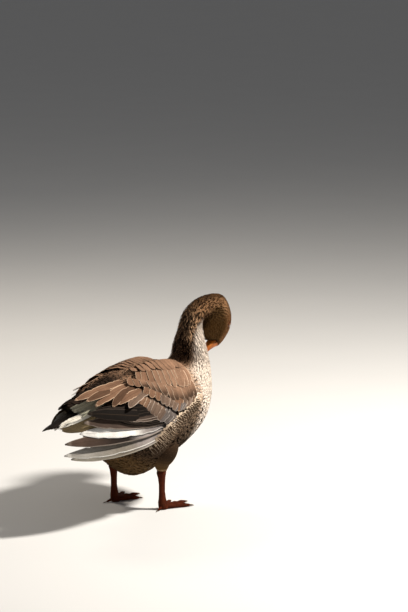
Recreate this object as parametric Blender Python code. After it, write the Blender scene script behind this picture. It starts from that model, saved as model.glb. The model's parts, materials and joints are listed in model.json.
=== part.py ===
"""Toulouse goose, life size, standing with its neck arched over and its bill tucked to its breast.

The bird faces +X, its left side is +Y and the floor is z = 0. Sizes are in metres. The flesh is one
long form, from the tail root over the back and neck to the bill, parted into nodes by thin gaps.
"""

import math
import random

import bmesh
import bpy
import numpy as np
from mathutils import Vector

GAP = 0.0003
CUT_GAP = 0.0005
MERGE_DUST = 0.000001
SIDES = (("left", 1.0), ("right", -1.0))
BELLY_PINCH = 0.20

# The form of the flesh at each station: back x, back z, belly x, belly z, half width, and the
# height of the widest level as a share of the way from belly to back.
STATIONS = {
    "tail_root": (-0.202, 0.316, -0.190, 0.249, 0.041, 0.48),
    "vent": (-0.158, 0.330, -0.143, 0.195, 0.067, 0.52),
    "paunch": (-0.095, 0.345, -0.088, 0.130, 0.107, 0.55),
    "belly": (-0.015, 0.364, -0.014, 0.086, 0.130, 0.56),
    "keel": (0.055, 0.370, 0.070, 0.113, 0.135, 0.56),
    "breast_low": (0.098, 0.367, 0.160, 0.163, 0.131, 0.55),
    "breast": (0.122, 0.359, 0.213, 0.241, 0.107, 0.54),
    "shoulder": (0.144, 0.351, 0.235, 0.306, 0.081, 0.50),
    "neck_root": (0.162, 0.358, 0.247, 0.345, 0.060, 0.50),
    "neck_low": (0.168, 0.393, 0.242, 0.386, 0.049, 0.50),
    "neck_mid": (0.172, 0.421, 0.242, 0.412, 0.037, 0.50),
    "neck_high": (0.179, 0.453, 0.240, 0.431, 0.030, 0.50),
    "throat": (0.196, 0.483, 0.243, 0.443, 0.0265, 0.50),
    "poll": (0.231, 0.503, 0.249, 0.451, 0.0260, 0.50),
    "nape": (0.275, 0.512, 0.255, 0.453, 0.0275, 0.50),
    "crown": (0.325, 0.504, 0.259, 0.449, 0.0295, 0.52),
    "eye": (0.352, 0.459, 0.257, 0.437, 0.0300, 0.54),
    "face": (0.350, 0.417, 0.255, 0.418, 0.0272, 0.54),
    "lore": (0.328, 0.387, 0.260, 0.401, 0.0214, 0.52),
    "bill_base": (0.304, 0.370, 0.2845, 0.3995, 0.0160, 0.50),
}
PLACE = {name: float(i) for i, name in enumerate(STATIONS)}
FLESH = {
    "torso": ("tail_root", "neck_root", 18, 26),
    "neck_lower": ("neck_root", "neck_high", 8, 20),
    "neck_upper": ("neck_high", "nape", 8, 18),
    "head": ("nape", "bill_base", 13, 20),
}

EYE_PLACE = (16.7, 62.0)
EYE_RADIUS = 0.0072
EYE_SUNK = 0.0042
LID_RADIUS = 0.0066
LID_THICK = 0.0012
LID_STAND = 0.0010
BALL_SEGMENTS = 14
BALL_RINGS = 8

BILL_LENGTH = 0.053
BILL_BASE = (0.0150, 0.0185, 0.0105)
BILL_TIP = (0.0095, 0.0048, 0.0034)
BILL_ROUND = 0.84
NAIL_SIZE = (0.0075, 0.0070, 0.0032)
MOUTH_BEND = 0.0022
MOUTH_DROP = 0.0020
LOWER_BILL_WIDTH = 0.90
LOWER_BILL_REACH = 0.965
NAIL_BACK = 0.0058
NAIL_HIGH = 0.0020
NOSTRIL_PLACE = 0.42
NOSTRIL_HIGH = 0.52
NOSTRIL_OUT = 0.88
NOSTRIL_SIZE = (0.0048, 0.0028, 0.0014)

# Legs: the right foot stands a little ahead of the left one.
LEG_Y = 0.070
LEG_X = {"left": -0.004, "right": 0.029}
FEATHER_EDGE_Z = 0.108
HOCK_Z = 0.096
ANKLE_Z = 0.016
TOE_ANGLES = {"inner": 27.0, "middle": 0.0, "outer": -27.0}
TOE_LENGTHS = {"inner": 0.066, "middle": 0.082, "outer": 0.074}
HIND_TOE = (165.0, 0.024)
CLAW_LENGTH = 0.011
# Along each toe: the share of its length, the height of its middle and its radius.
TOE_STATIONS = (
    (0.0, 0.0085, 0.0078),
    (0.28, 0.0070, 0.0068),
    (0.44, 0.0062, 0.0060),
    (0.52, 0.0064, 0.0066),
    (0.68, 0.0050, 0.0048),
    (0.80, 0.0052, 0.0055),
    (1.0, 0.0038, 0.0034),
)
HIND_TOE_SIZE = 0.62
HIND_TOE_RISE = 0.004
TOE_SIDES = 8
# Along each claw: the share of its length, its size against the toe's end and how far it drops.
CLAW_STATIONS = ((0.0, 0.86, 0.0), (0.45, 0.66, 0.0003), (0.8, 0.36, 0.0012), (1.0, 0.12, 0.0022))
CLAW_FLATNESS = 0.8
CLAW_LEAST_Z = 0.0002
ANKLE_AHEAD = 0.002
WEB_THICK = 0.0028
WEB_Z = 0.0004
WEB_REACH = 0.93
WEB_HOLLOW = 0.15
WEB_START = -0.004
WEB_STEPS = 6

PAD_DEPTH = {"left": 0.004, "right": 0.010}
PAD_FROM = 0.95
PAD_TO = 4.85
PAD_LEAST = 0.002
PAD_SUNK = 0.004
PAD_ROWS = 14
PAD_COLUMNS = 8
# The folded wing's upper and lower edge: station places, and degrees from the middle of the back.
PAD_TOP_EDGE = ((0.9, 1.6, 3.6, 4.4, 4.9), (16.0, 10.0, 10.0, 15.0, 34.0))
PAD_LOW_EDGE = (
    (0.9, 1.5, 2.0, 2.45, 2.9, 3.4, 4.0, 4.5, 4.9),
    (46.0, 66.0, 80.0, 98.0, 97.0, 86.0, 78.0, 71.0, 58.0),
)
VANE_THICK = 0.0011
VANE_EDGE = 0.0006
TIER_TILT = 7.0
FAN_TILT = 9.0
TIER_ROOT_LIFT = -0.004
SHAFT_PLACE = {1.0: 0.38, -1.0: 0.62}

# The tail droops behind the rump, rolled a little to the left. The stub's rings give the way back
# from the root, the half width, the half height and how low the ring hangs.
TAIL_ROOT = (-0.196, 0.0, 0.298)
TAIL_LENGTH = 0.120
TAIL_COUNT = 11
TAIL_SPREAD = 15.0
TAIL_DROOP = 21.0
TAIL_ROLL = 18.0
TAIL_SWING = -1.0
TAIL_STUB = (
    (0.014, 0.045, 0.028, 0.33),
    (0.032, 0.038, 0.018, 0.20),
    (0.052, 0.034, 0.010, 0.10),
    (0.070, 0.028, 0.004, 0.00),
)
TAIL_SIDES = 24
TAIL_FEATHER_START = 0.018
TAIL_FEATHER_HALF = 0.0120
TAIL_ROW_HALF = 0.020
TAIL_CROWN = 0.001
TAIL_CROWN_FALL = 0.0055
TAIL_OUTER_SHORTER = 0.14
TAIL_OUTER_DROP = 0.004
TAIL_OUTER_LEAN = 0.10
TAIL_COVERTS = 4
TAIL_COVERT_START = 0.016
TAIL_COVERT_ROW_HALF = 0.030
TAIL_COVERT_HEIGHT = 0.020
TAIL_COVERT_FALL = 0.010
TAIL_COVERT_SPREAD = 0.9
TAIL_COVERT_SLOPE = 0.17
TAIL_COVERT_HALF = 0.0135
TAIL_COVERT_REACH = {1.0: 0.060, -1.0: 0.072}

COLOURS = {
    "plumage": (0.26, 0.19, 0.14),
    "breast": (0.52, 0.45, 0.38),
    "wing": (0.24, 0.17, 0.13),
    "tail": (0.20, 0.16, 0.13),
    "bill": (0.80, 0.30, 0.05),
    "leg": (0.62, 0.20, 0.07),
    "claw": (0.10, 0.07, 0.05),
    "eye": (0.03, 0.02, 0.015),
}


def clear_scene():
    """Empty the file and make the collection for the parts and the one for the cutters."""
    for obj in list(bpy.data.objects):
        bpy.data.objects.remove(obj, do_unlink=True)
    parts = bpy.data.collections.new("toulouse_goose")
    cutters = bpy.data.collections.new("cutters")
    for collection in (parts, cutters):
        bpy.context.scene.collection.children.link(collection)
    return parts, cutters


def material(name, roughness=0.8):
    """A plain finish in one of the bird's colours."""
    made = bpy.data.materials.get(name)
    if made is None:
        made = bpy.data.materials.new(name)
        made.use_nodes = True
        shader = made.node_tree.nodes["Principled BSDF"]
        shader.inputs["Base Color"].default_value = (*COLOURS[name], 1.0)
        shader.inputs["Roughness"].default_value = roughness
        shader.inputs["Metallic"].default_value = 0.0
    return made


def mesh_object(name, points, faces, collection, finish=None):
    """An object from points and faces, split into triangles and turned outwards."""
    mesh = bpy.data.meshes.new(name)
    mesh.from_pydata([tuple(map(float, p)) for p in points], [], faces)
    form = bmesh.new()
    form.from_mesh(mesh)
    bmesh.ops.triangulate(form, faces=form.faces)
    bmesh.ops.recalc_face_normals(form, faces=form.faces)
    if form.calc_volume(signed=True) < 0:
        bmesh.ops.reverse_faces(form, faces=form.faces)
    form.to_mesh(mesh)
    form.free()
    mesh.shade_smooth()
    obj = bpy.data.objects.new(name, mesh)
    collection.objects.link(obj)
    if finish:
        mesh.materials.append(material(finish))
    return obj


def smooth_rows(rows, place):
    """The rows read between two of them, on a Catmull-Rom curve."""
    rows = np.asarray(rows, float)
    last = len(rows) - 1
    place = min(max(place, 0.0), float(last))
    i = min(int(place), last - 1)
    f = place - i
    before, here, there, after = rows[max(i - 1, 0)], rows[i], rows[i + 1], rows[min(i + 2, last)]
    return 0.5 * (
        2 * here
        + (there - before) * f
        + (2 * before - 5 * here + 4 * there - after) * f * f
        + (3 * here - before - 3 * there + after) * f**3
    )


def unit(vector):
    """The vector at length 1."""
    vector = np.asarray(vector, float)
    return vector / max(np.linalg.norm(vector), 1e-12)


def section(place):
    """Centre of the widest level, up, side, half width, height above and depth below at a place."""
    back_x, back_z, belly_x, belly_z, half, widest = smooth_rows(list(STATIONS.values()), place)
    back, belly = np.array([back_x, 0.0, back_z]), np.array([belly_x, 0.0, belly_z])
    height = np.linalg.norm(back - belly)
    up = unit(back - belly)
    return belly + (back - belly) * widest, up, np.array([0.0, 1.0, 0.0]), half, height, widest


def flesh_point(place, angle):
    """A point of the flesh: angle is in degrees from the middle of the back, towards the left."""
    middle, up, side, half, height, widest = section(place)
    turn = math.radians(angle)
    rise = math.cos(turn)
    reach = (1.0 - widest) * height if rise > 0 else widest * height
    pinch = BELLY_PINCH * min(1.0, max(0.0, 6.0 - place)) * min(rise, 0.0) ** 2
    return middle + up * rise * reach + side * math.sin(turn) * half * (1.0 - pinch)


def flesh_normal(place, angle):
    """The outward direction of the flesh there."""
    along = flesh_point(place + 0.05, angle) - flesh_point(place - 0.05, angle)
    around = flesh_point(place, angle + 2.0) - flesh_point(place, angle - 2.0)
    return unit(np.cross(along, around))


def ring_of(place, sides):
    """The closed ring of points round the flesh at a place."""
    return [flesh_point(place, 360.0 * k / sides) for k in range(sides)]


def loft(name, rings, collection, finish):
    """A closed skin over rings of equal count, with a point in the middle of each end."""
    sides = len(rings[0])
    points = [p for ring in rings for p in ring]
    faces = []
    for r in range(len(rings) - 1):
        for k in range(sides):
            a, b = r * sides + k, r * sides + (k + 1) % sides
            faces.append((a, b, b + sides, a + sides))
    for ring, first in ((rings[0], 0), (rings[-1], (len(rings) - 1) * sides)):
        points.append(np.mean(ring, axis=0))
        centre = len(points) - 1
        faces += [(first + k, first + (k + 1) % sides, centre) for k in range(sides)]
    return mesh_object(name, points, faces, collection, finish)


def flesh_node(name, collection):
    """One stretch of the flesh, which starts the width of the gap past the stretch before it."""
    first, last, steps, sides = FLESH[name]
    begin, end = PLACE[first], PLACE[last]
    rings = [ring_of(begin + (end - begin) * i / steps, sides) for i in range(steps + 1)]
    if begin > 0:
        forward = section(begin + 0.02)[0] - section(begin - 0.02)[0]
        up = section(begin)[1]
        forward = unit(forward - up * np.dot(forward, up))
        rings[0] = [p + forward * GAP for p in rings[0]]
    return loft(name, rings, collection, "breast" if name == "torso" else "plumage")


def swollen_copy(obj, by, name, cutters):
    """A copy whose points are moved out along their normals, to cut neighbours clear."""
    copy = bpy.data.objects.new(name, obj.data.copy())
    cutters.objects.link(copy)
    for vertex, normal in zip(copy.data.vertices, [v.normal.copy() for v in obj.data.vertices]):
        vertex.co += normal * by
    copy.hide_render = True
    copy.display_type = "WIRE"
    return copy


def keep_largest(obj):
    """Keep only the largest closed surface of a mesh."""
    form = bmesh.new()
    form.from_mesh(obj.data)
    bmesh.ops.remove_doubles(form, verts=form.verts, dist=MERGE_DUST)
    left, groups = set(form.faces), []
    while left:
        group = [left.pop()]
        for face in group:
            for edge in face.edges:
                sound = len(edge.link_faces) == 2
                beside = [other for other in edge.link_faces if sound and other in left]
                left.difference_update(beside)
                group.extend(beside)
        groups.append(group)
    groups.sort(key=len, reverse=True)
    for group in groups[1:]:
        bmesh.ops.delete(form, geom=group, context="FACES")
    form.to_mesh(obj.data)
    form.free()


def boolean(obj, other, operation, solver="EXACT"):
    """Apply a Boolean with another object, or with a collection of them, and drop what it leaves."""
    modifier = obj.modifiers.new(operation.lower(), "BOOLEAN")
    modifier.operation = operation
    modifier.solver = solver
    if isinstance(other, bpy.types.Collection):
        modifier.operand_type = "COLLECTION"
        modifier.collection = other
    else:
        modifier.object = other
    bpy.context.view_layer.update()
    graph = bpy.context.evaluated_depsgraph_get()
    made = bpy.data.meshes.new_from_object(obj.evaluated_get(graph))
    obj.modifiers.remove(modifier)
    old = obj.data
    obj.data = made
    made.name = old.name
    bpy.data.meshes.remove(old)
    keep_largest(obj)


def fuse(obj, pieces, solver="EXACT"):
    """Join pieces to an object by one union, and remove them."""
    group = bpy.data.collections.new(obj.name + "_pieces")
    bpy.context.scene.collection.children.link(group)
    for piece in pieces:
        for home in list(piece.users_collection):
            home.objects.unlink(piece)
        group.objects.link(piece)
    boolean(obj, group, "UNION", solver)
    for piece in pieces:
        bpy.data.objects.remove(piece, do_unlink=True)
    bpy.data.collections.remove(group)
    return obj


def vane(name, path, normals, half_widths, collection, finish, shaft=0.5, camber=0.10):
    """A feather: a thin blade along a path, highest along its shaft, alike on both faces.

    shaft is the place of the shaft across the blade, from 0 at its left edge to 1.
    """
    top, bottom = [], []
    for i, point in enumerate(path):
        ahead = path[min(i + 1, len(path) - 1)] - path[max(i - 1, 0)]
        normal = unit(normals[i] - unit(ahead) * np.dot(normals[i], unit(ahead)))
        side = unit(np.cross(normal, ahead))
        width = 2.0 * half_widths[i]
        drop = normal * camber * width
        for across in (0.0, shaft, 1.0):
            spot = point + side * (across - shaft) * width
            edge = across != shaft
            spot = spot - drop * abs(across - shaft) if edge else spot
            half = normal * (VANE_EDGE if edge else VANE_THICK) / 2
            top.append(spot + half)
            bottom.append(spot - half)
    count, faces = len(path), []
    under = len(top)
    for r in range(count - 1):
        for c in range(2):
            a = 3 * r + c
            faces += [(a, a + 1, a + 4), (a, a + 4, a + 3)]
            a += under
            faces += [(a, a + 4, a + 1), (a, a + 3, a + 4)]
        for c in (0, 2):
            a, b = 3 * r + c, 3 * r + c + 3
            faces += [(a, b, b + under), (a, b + under, a + under)]
    for r in (0, count - 1):
        for c in range(2):
            a = 3 * r + c
            faces += [(a, a + 1, a + 1 + under), (a, a + 1 + under, a + under)]
    return mesh_object(name, top + bottom, faces, collection, finish)


LONG_FEATHER = ((0.0, 0.30), (0.34, 0.95), (0.72, 1.0), (0.93, 0.70), (1.0, 0.22))
SHORT_FEATHER = ((0.0, 0.50), (0.50, 1.0), (0.88, 0.78), (1.0, 0.28))


def pad_edges(place):
    """The upper and lower edge of the folded wing, in degrees from the middle of the back."""
    return float(np.interp(place, *PAD_TOP_EDGE)), float(np.interp(place, *PAD_LOW_EDGE))


def pad_depth(place, angle, depth):
    """How far the folded wing stands off the flesh under its feathers."""
    along = (place - PAD_FROM) / (PAD_TO - PAD_FROM)
    low, high = pad_edges(place)
    across = (angle - low) / max(high - low, 1e-6)
    if not (0.0 <= along <= 1.0 and 0.0 <= across <= 1.0):
        return PAD_LEAST
    ends = min(1.0, along / 0.25) ** 0.5 * min(1.0, (1.0 - along) / 0.22) ** 0.5
    edges = min(1.0, across / 0.14) ** 0.5 * min(1.0, (1.0 - across) / 0.45) ** 0.7
    return PAD_LEAST + depth * ends * edges


def wing_point(place, angle, lift, side):
    """A point above the folded wing's own surface, and the outward direction there."""
    normal = flesh_normal(place, angle)
    depth = PAD_DEPTH["left" if side > 0 else "right"]
    point = flesh_point(place, angle) + normal * (pad_depth(place, angle, depth) + lift)
    mirror = np.array([1.0, side, 1.0])
    return point * mirror, normal * mirror


def wing_pad(side, collection):
    """The folded wing's own mass, a flat swelling along the side of the back."""
    rows, columns = PAD_ROWS, PAD_COLUMNS
    outer, inner = [], []
    for i in range(rows):
        place = PAD_FROM + (PAD_TO - PAD_FROM) * i / (rows - 1)
        low, high = pad_edges(place)
        for j in range(columns):
            share = 0.5 - 0.5 * math.cos(math.pi * j / (columns - 1))
            angle = low + (high - low) * share
            point, normal = wing_point(place, angle, 0.0, side)
            outer.append(point)
            inner.append(point - normal * (pad_depth(place, angle, PAD_DEPTH["right"]) + PAD_SUNK))
    faces, under = [], len(outer)
    for i in range(rows - 1):
        for j in range(columns - 1):
            a = i * columns + j
            faces.append((a, a + 1, a + columns + 1, a + columns))
            a += under
            faces.append((a, a + columns, a + columns + 1, a + 1))
    border = [(i * columns, (i + 1) * columns) for i in range(rows - 1)]
    border += [(i * columns + columns - 1, (i + 1) * columns + columns - 1) for i in range(rows - 1)]
    border += [(j, j + 1) for j in range(columns - 1)]
    border += [((rows - 1) * columns + j, (rows - 1) * columns + j + 1) for j in range(columns - 1)]
    faces += [(a, b, b + under, a + under) for a, b in border]
    return mesh_object("pad", outer + inner, faces, collection, "wing")


# Tiers that lie on the folded wing. Roots and tips are rows of station places and angles from the
# first vane to the last. After them: count, lift at the tip and half width.
TIERS = {
    "greater_coverts": (
        ((3.45, 74), (3.10, 70), (2.75, 60), (2.55, 50)),
        ((3.05, 92), (2.72, 90), (2.28, 81), (1.90, 71)),
        6, 0.0022, 0.0135,
    ),
    "median_coverts": (
        ((4.10, 62), (3.50, 58), (3.05, 48)),
        ((3.75, 80), (3.15, 79), (2.55, 64)),
        5, 0.0040, 0.0125,
    ),
    "scapulars_back": (
        ((4.30, 20), (3.50, 17), (2.90, 14)),
        ((3.20, 24), (2.40, 22), (1.55, 20)),
        4, 0.0035, 0.0165,
    ),
    "scapulars_side": (
        ((4.65, 44), (4.00, 32), (3.20, 24)),
        ((4.40, 70), (3.60, 74), (2.55, 50)),
        6, 0.0062, 0.0170,
    ),
}


def read_rows(rows, share):
    """The value at a share of the way along evenly spaced rows."""
    rows = np.asarray(rows, float)
    places = np.linspace(0.0, 1.0, len(rows))
    return np.array([np.interp(share, places, rows[:, k]) for k in range(rows.shape[1])])


def tier_vanes(name, side, draw, collection):
    """The overlapping vanes of one tier, each tilted a little so that it lies over the next."""
    roots, tips, count, lift, half = TIERS[name]
    made = []
    for i in range(count):
        root, tip = read_rows(roots, i / (count - 1)), read_rows(tips, i / (count - 1))
        tip = tip + np.array([draw.uniform(-0.04, 0.04), draw.uniform(-1.5, 1.5)])
        path, normals, widths = [], [], []
        for along, width in SHORT_FEATHER:
            place, angle = root + (tip - root) * along
            rise = TIER_ROOT_LIFT + (lift - TIER_ROOT_LIFT) * min(1.0, along * 2.4)
            point, normal = wing_point(place, angle, rise, side)
            path.append(point)
            normals.append(normal)
            widths.append(half * width)
        normals = tilted(path, normals, TIER_TILT * side)
        made.append(vane(f"{name}_{i}", path, normals, widths, collection, "wing"))
    return made


def tilted(path, normals, degrees):
    """The normals turned about the line of the path."""
    ahead = unit(path[-1] - path[0])
    turn = math.radians(degrees)
    cos, sin = math.cos(turn), math.sin(turn)
    return [n * cos + np.cross(ahead, n) * sin + ahead * np.dot(ahead, n) * (1 - cos) for n in normals]


# Flight feathers, for each wing: rows of roots, of places that they pass, and of tips, then the
# count, the half width and the outward direction. The right wing hangs slack outside the tail.
FLIGHTS = {
    "right": {
        "primary": (
            ((-0.020, -0.1400, 0.238), (-0.016, -0.1385, 0.268)),
            ((-0.078, -0.1430, 0.219), (-0.076, -0.1430, 0.240), (-0.074, -0.1410, 0.266)),
            ((-0.308, -0.072, 0.200), (-0.314, -0.075, 0.223), (-0.269, -0.080, 0.252),
             (-0.251, -0.088, 0.285), (-0.252, -0.095, 0.301)),
            6, 0.0142, (-0.15, -0.93, 0.33),
        ),
        "secondary": (
            ((-0.040, -0.136, 0.272), (-0.060, -0.122, 0.294)),
            ((-0.080, -0.134, 0.272), (-0.100, -0.120, 0.297)),
            ((-0.222, -0.098, 0.308), (-0.182, -0.102, 0.314)),
            3, 0.0142, (-0.15, -0.86, 0.48),
        ),
        "tertial": (
            ((-0.050, -0.118, 0.318), (-0.040, -0.085, 0.348), (-0.045, -0.060, 0.358)),
            ((-0.095, -0.112, 0.316), (-0.110, -0.082, 0.338), (-0.120, -0.058, 0.348)),
            ((-0.138, -0.118, 0.300), (-0.169, -0.100, 0.319), (-0.222, -0.070, 0.326),
             (-0.248, -0.051, 0.335)),
            5, 0.0125, (-0.10, -0.62, 0.78),
        ),
    },
    "left": {
        "primary": (
            ((-0.022, 0.1375, 0.246), (-0.022, 0.1365, 0.268)),
            ((-0.110, 0.1230, 0.233), (-0.108, 0.1230, 0.251)),
            ((-0.195, 0.0860, 0.220), (-0.212, 0.0670, 0.235)),
            5, 0.0142, (0.10, 0.95, 0.25),
        ),
        "secondary": (
            ((-0.020, 0.1355, 0.272), (-0.036, 0.1275, 0.292)),
            ((-0.072, 0.1300, 0.260), (-0.074, 0.1200, 0.277)),
            ((-0.122, 0.1120, 0.246), (-0.124, 0.1070, 0.258)),
            3, 0.0142, (-0.10, 0.88, 0.45),
        ),
        "tertial": (
            ((-0.050, 0.112, 0.306), (-0.040, 0.085, 0.331), (-0.045, 0.060, 0.347)),
            ((-0.085, 0.108, 0.295), (-0.085, 0.082, 0.321), (-0.090, 0.052, 0.339)),
            ((-0.115, 0.104, 0.282), (-0.140, 0.076, 0.305), (-0.165, 0.052, 0.320),
             (-0.176, 0.036, 0.334)),
            5, 0.0125, (-0.10, 0.62, 0.78),
        ),
    },
}


# The hand of the wing, which carries the roots of the long feathers: x, y, z, half height and half
# thickness of each ring. The left one, folded tighter, lies higher and is smaller.
HAND = (
    (0.004, 0.1330, 0.268, 0.008, 0.0030),
    (-0.020, 0.1365, 0.256, 0.021, 0.0040),
    (-0.048, 0.1375, 0.247, 0.029, 0.0036),
    (-0.074, 0.1365, 0.244, 0.028, 0.0028),
    (-0.090, 0.1350, 0.245, 0.020, 0.0020),
)
HAND_RISE = {"left": 0.012, "right": 0.0}
HAND_SIZE = {"left": 0.72, "right": 1.0}
HAND_LEAN = 0.25
HAND_SIDES = 12


def wing_hand(hand, side, collection):
    """The flat hand of the folded wing."""
    rings = []
    for x, y, z, tall, thick in HAND:
        half = tall * HAND_SIZE[hand]
        ring = []
        for k in range(HAND_SIDES):
            turn = 2 * math.pi * k / HAND_SIDES
            rise = half * math.sin(turn)
            out = y + thick * math.cos(turn) - HAND_LEAN * rise * abs(math.sin(turn))
            ring.append(np.array([x, out * side, z + HAND_RISE[hand] + rise]))
        rings.append(ring)
    return loft("hand", rings, collection, "wing")


def bent_line(root, waypoint, tip, along):
    """A point on the even bend from root to tip that passes the waypoint."""
    first, second = np.linalg.norm(waypoint - root), np.linalg.norm(tip - waypoint)
    t = first / (first + second)
    handle = (waypoint - (1 - t) ** 2 * root - t**2 * tip) / (2 * t * (1 - t))
    return (1 - along) ** 2 * root + 2 * along * (1 - along) * handle + along**2 * tip


def flight_vanes(name, hand, side, collection):
    """One fan of long feathers, each lying over the one below it."""
    roots, waypoints, tips, count, half, out = FLIGHTS[hand][name]
    outward = unit(out)
    made = []
    for i in range(count):
        share = i / (count - 1)
        ends = [read_rows(rows, share) for rows in (roots, waypoints, tips)]
        path = [bent_line(*ends, along) for along, _ in LONG_FEATHER]
        widths = [half * width for _, width in LONG_FEATHER]
        normals = tilted(path, [outward] * len(path), FAN_TILT * side)
        made.append(vane(f"{name}_{i}", path, normals, widths, collection, "wing", SHAFT_PLACE[side]))
    return made


def wing(hand, side, seed, parts, cutter):
    """A folded wing: its pad, the tiers on it and its flight feathers, cut clear of the torso."""
    draw = random.Random(seed)
    pad = wing_pad(side, parts)
    pad.name = f"wing_{hand}"
    pieces = [wing_hand(hand, side, parts)]
    for tier in TIERS:
        pieces += tier_vanes(tier, side, draw, parts)
    for fan in FLIGHTS[hand]:
        pieces += flight_vanes(fan, hand, side, parts)
    fuse(pad, pieces)
    boolean(pad, cutter, "DIFFERENCE")
    return pad


def tail(parts, cutter):
    """The tail: a flat stub that carries the fan of tail feathers and the coverts over its roots."""
    droop, roll, swing = (math.radians(v) for v in (TAIL_DROOP, TAIL_ROLL, TAIL_SWING))
    back = np.array([-math.cos(droop) * math.cos(swing), math.sin(swing), -math.sin(droop)])
    level = unit(np.cross(back, (0.0, 0.0, 1.0)))
    upright = np.cross(level, back)
    side = level * math.cos(roll) - upright * math.sin(roll)
    up = np.cross(side, back)
    centre = np.array(TAIL_ROOT)
    around = [2 * math.pi * k / TAIL_SIDES for k in range(TAIL_SIDES)]
    outward = unit(np.cross(section(0.0)[1], (0.0, 1.0, 0.0)))
    outward = outward if outward[0] < 0 else -outward
    rings = [[p + outward * GAP for p in ring_of(0.0, TAIL_SIDES)]]
    for along, half, height, low in TAIL_STUB:
        middle = centre + back * along - up * height * low
        rings.append([middle + up * math.cos(a) * height + side * math.sin(a) * half for a in around])
    stub = loft("tail", rings, parts, "tail")
    pieces = []
    for i in range(TAIL_COUNT):
        share = 2.0 * i / (TAIL_COUNT - 1) - 1.0
        spread = math.radians(TAIL_SPREAD * share)
        start = centre + back * TAIL_FEATHER_START + side * TAIL_ROW_HALF * share
        start = start + up * (TAIL_CROWN - TAIL_CROWN_FALL * abs(share))
        heading = back * math.cos(spread) + side * math.sin(spread)
        length = (TAIL_LENGTH - TAIL_FEATHER_START) * (1.0 - TAIL_OUTER_SHORTER * share**2)
        drop = up * TAIL_OUTER_DROP * share**2
        path = [start + heading * length * along - drop for along, _ in LONG_FEATHER]
        widths = [TAIL_FEATHER_HALF * width for _, width in LONG_FEATHER]
        lean = unit(up - side * TAIL_OUTER_LEAN * share)
        pieces.append(vane(f"rectrix_{i}", path, [lean] * len(path), widths, parts, "tail"))
    for above, reach in TAIL_COVERT_REACH.items():
        for i in range(TAIL_COVERTS):
            share = 2.0 * i / (TAIL_COVERTS - 1) - 1.0
            spread = math.radians(TAIL_SPREAD * TAIL_COVERT_SPREAD * share)
            start = centre + back * TAIL_COVERT_START + side * TAIL_COVERT_ROW_HALF * share
            start = start + up * above * (TAIL_COVERT_HEIGHT - TAIL_COVERT_FALL * abs(share))
            slope = up * above * TAIL_COVERT_SLOPE
            heading = unit(back * math.cos(spread) + side * math.sin(spread) - slope)
            path = [start + heading * reach * along for along, _ in SHORT_FEATHER]
            widths = [TAIL_COVERT_HALF * width for _, width in SHORT_FEATHER]
            pieces.append(vane(f"covert_{i}", path, [up] * len(path), widths, parts, "tail"))
    fuse(stub, pieces)
    boolean(stub, cutter, "DIFFERENCE")
    return stub


def head(parts):
    """The head with its eye sockets and lid rims."""
    skull = flesh_node("head", parts)
    lids = []
    for _, side in SIDES:
        spot, out = eye_spot(side)
        bpy.ops.mesh.primitive_torus_add(
            major_radius=LID_RADIUS, minor_radius=LID_THICK, major_segments=14, minor_segments=5
        )
        lid = bpy.context.object
        place_on(lid, spot + out * LID_STAND, out)
        lids.append(lid)
    fuse(skull, lids)
    for _, side in SIDES:
        spot, _ = eye_spot(side)
        socket = ball("socket", spot, EYE_RADIUS + GAP)
        boolean(skull, socket, "DIFFERENCE")
        bpy.data.objects.remove(socket, do_unlink=True)
    return skull


def eye_spot(side):
    """The centre of an eye and the direction that it looks."""
    place, angle = EYE_PLACE
    mirror = np.array([1.0, side, 1.0])
    out = flesh_normal(place, angle) * mirror
    return flesh_point(place, angle) * mirror - out * EYE_SUNK, out


def ball(name, centre, radius):
    """A round ball at its place."""
    bpy.ops.mesh.primitive_uv_sphere_add(
        segments=BALL_SEGMENTS, ring_count=BALL_RINGS, radius=radius, location=tuple(centre)
    )
    made = bpy.context.object
    made.name = name
    apply_place(made)
    return made


def apply_place(obj):
    """Put the object's place into its mesh."""
    bpy.context.view_layer.update()
    obj.data.transform(obj.matrix_world)
    obj.matrix_world.identity()
    obj.location, obj.rotation_euler, obj.scale = (0, 0, 0), (0, 0, 0), (1, 1, 1)
    bpy.context.view_layer.update()


def place_on(obj, spot, out):
    """Move an object to a spot, with its z axis along the given direction."""
    obj.rotation_mode = "QUATERNION"
    obj.rotation_quaternion = Vector(tuple(out)).to_track_quat("Z", "Y")
    obj.location = tuple(spot)
    bpy.context.view_layer.update()
    obj.data.transform(obj.matrix_world)
    obj.rotation_quaternion = (1, 0, 0, 0)
    obj.location = (0, 0, 0)
    bpy.context.view_layer.update()


def move_to(obj, parts, finish):
    """Put an object that an operator made into the parts' collection, with its finish."""
    for home in list(obj.users_collection):
        home.objects.unlink(obj)
    parts.objects.link(obj)
    obj.data.materials.clear()
    obj.data.materials.append(material(finish))
    obj.data.shade_smooth()
    return obj


def bill_frame():
    """The middle of the bill's base, and the directions forward, up and left."""
    middle, up, side, _, height, widest = section(PLACE["bill_base"])
    forward = unit(np.cross(side, up) * -1.0)
    if np.dot(forward, section(PLACE["bill_base"])[0] - section(PLACE["lore"])[0]) < 0:
        forward = -forward
    return middle + up * height * (0.5 - widest), forward, up, side


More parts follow.
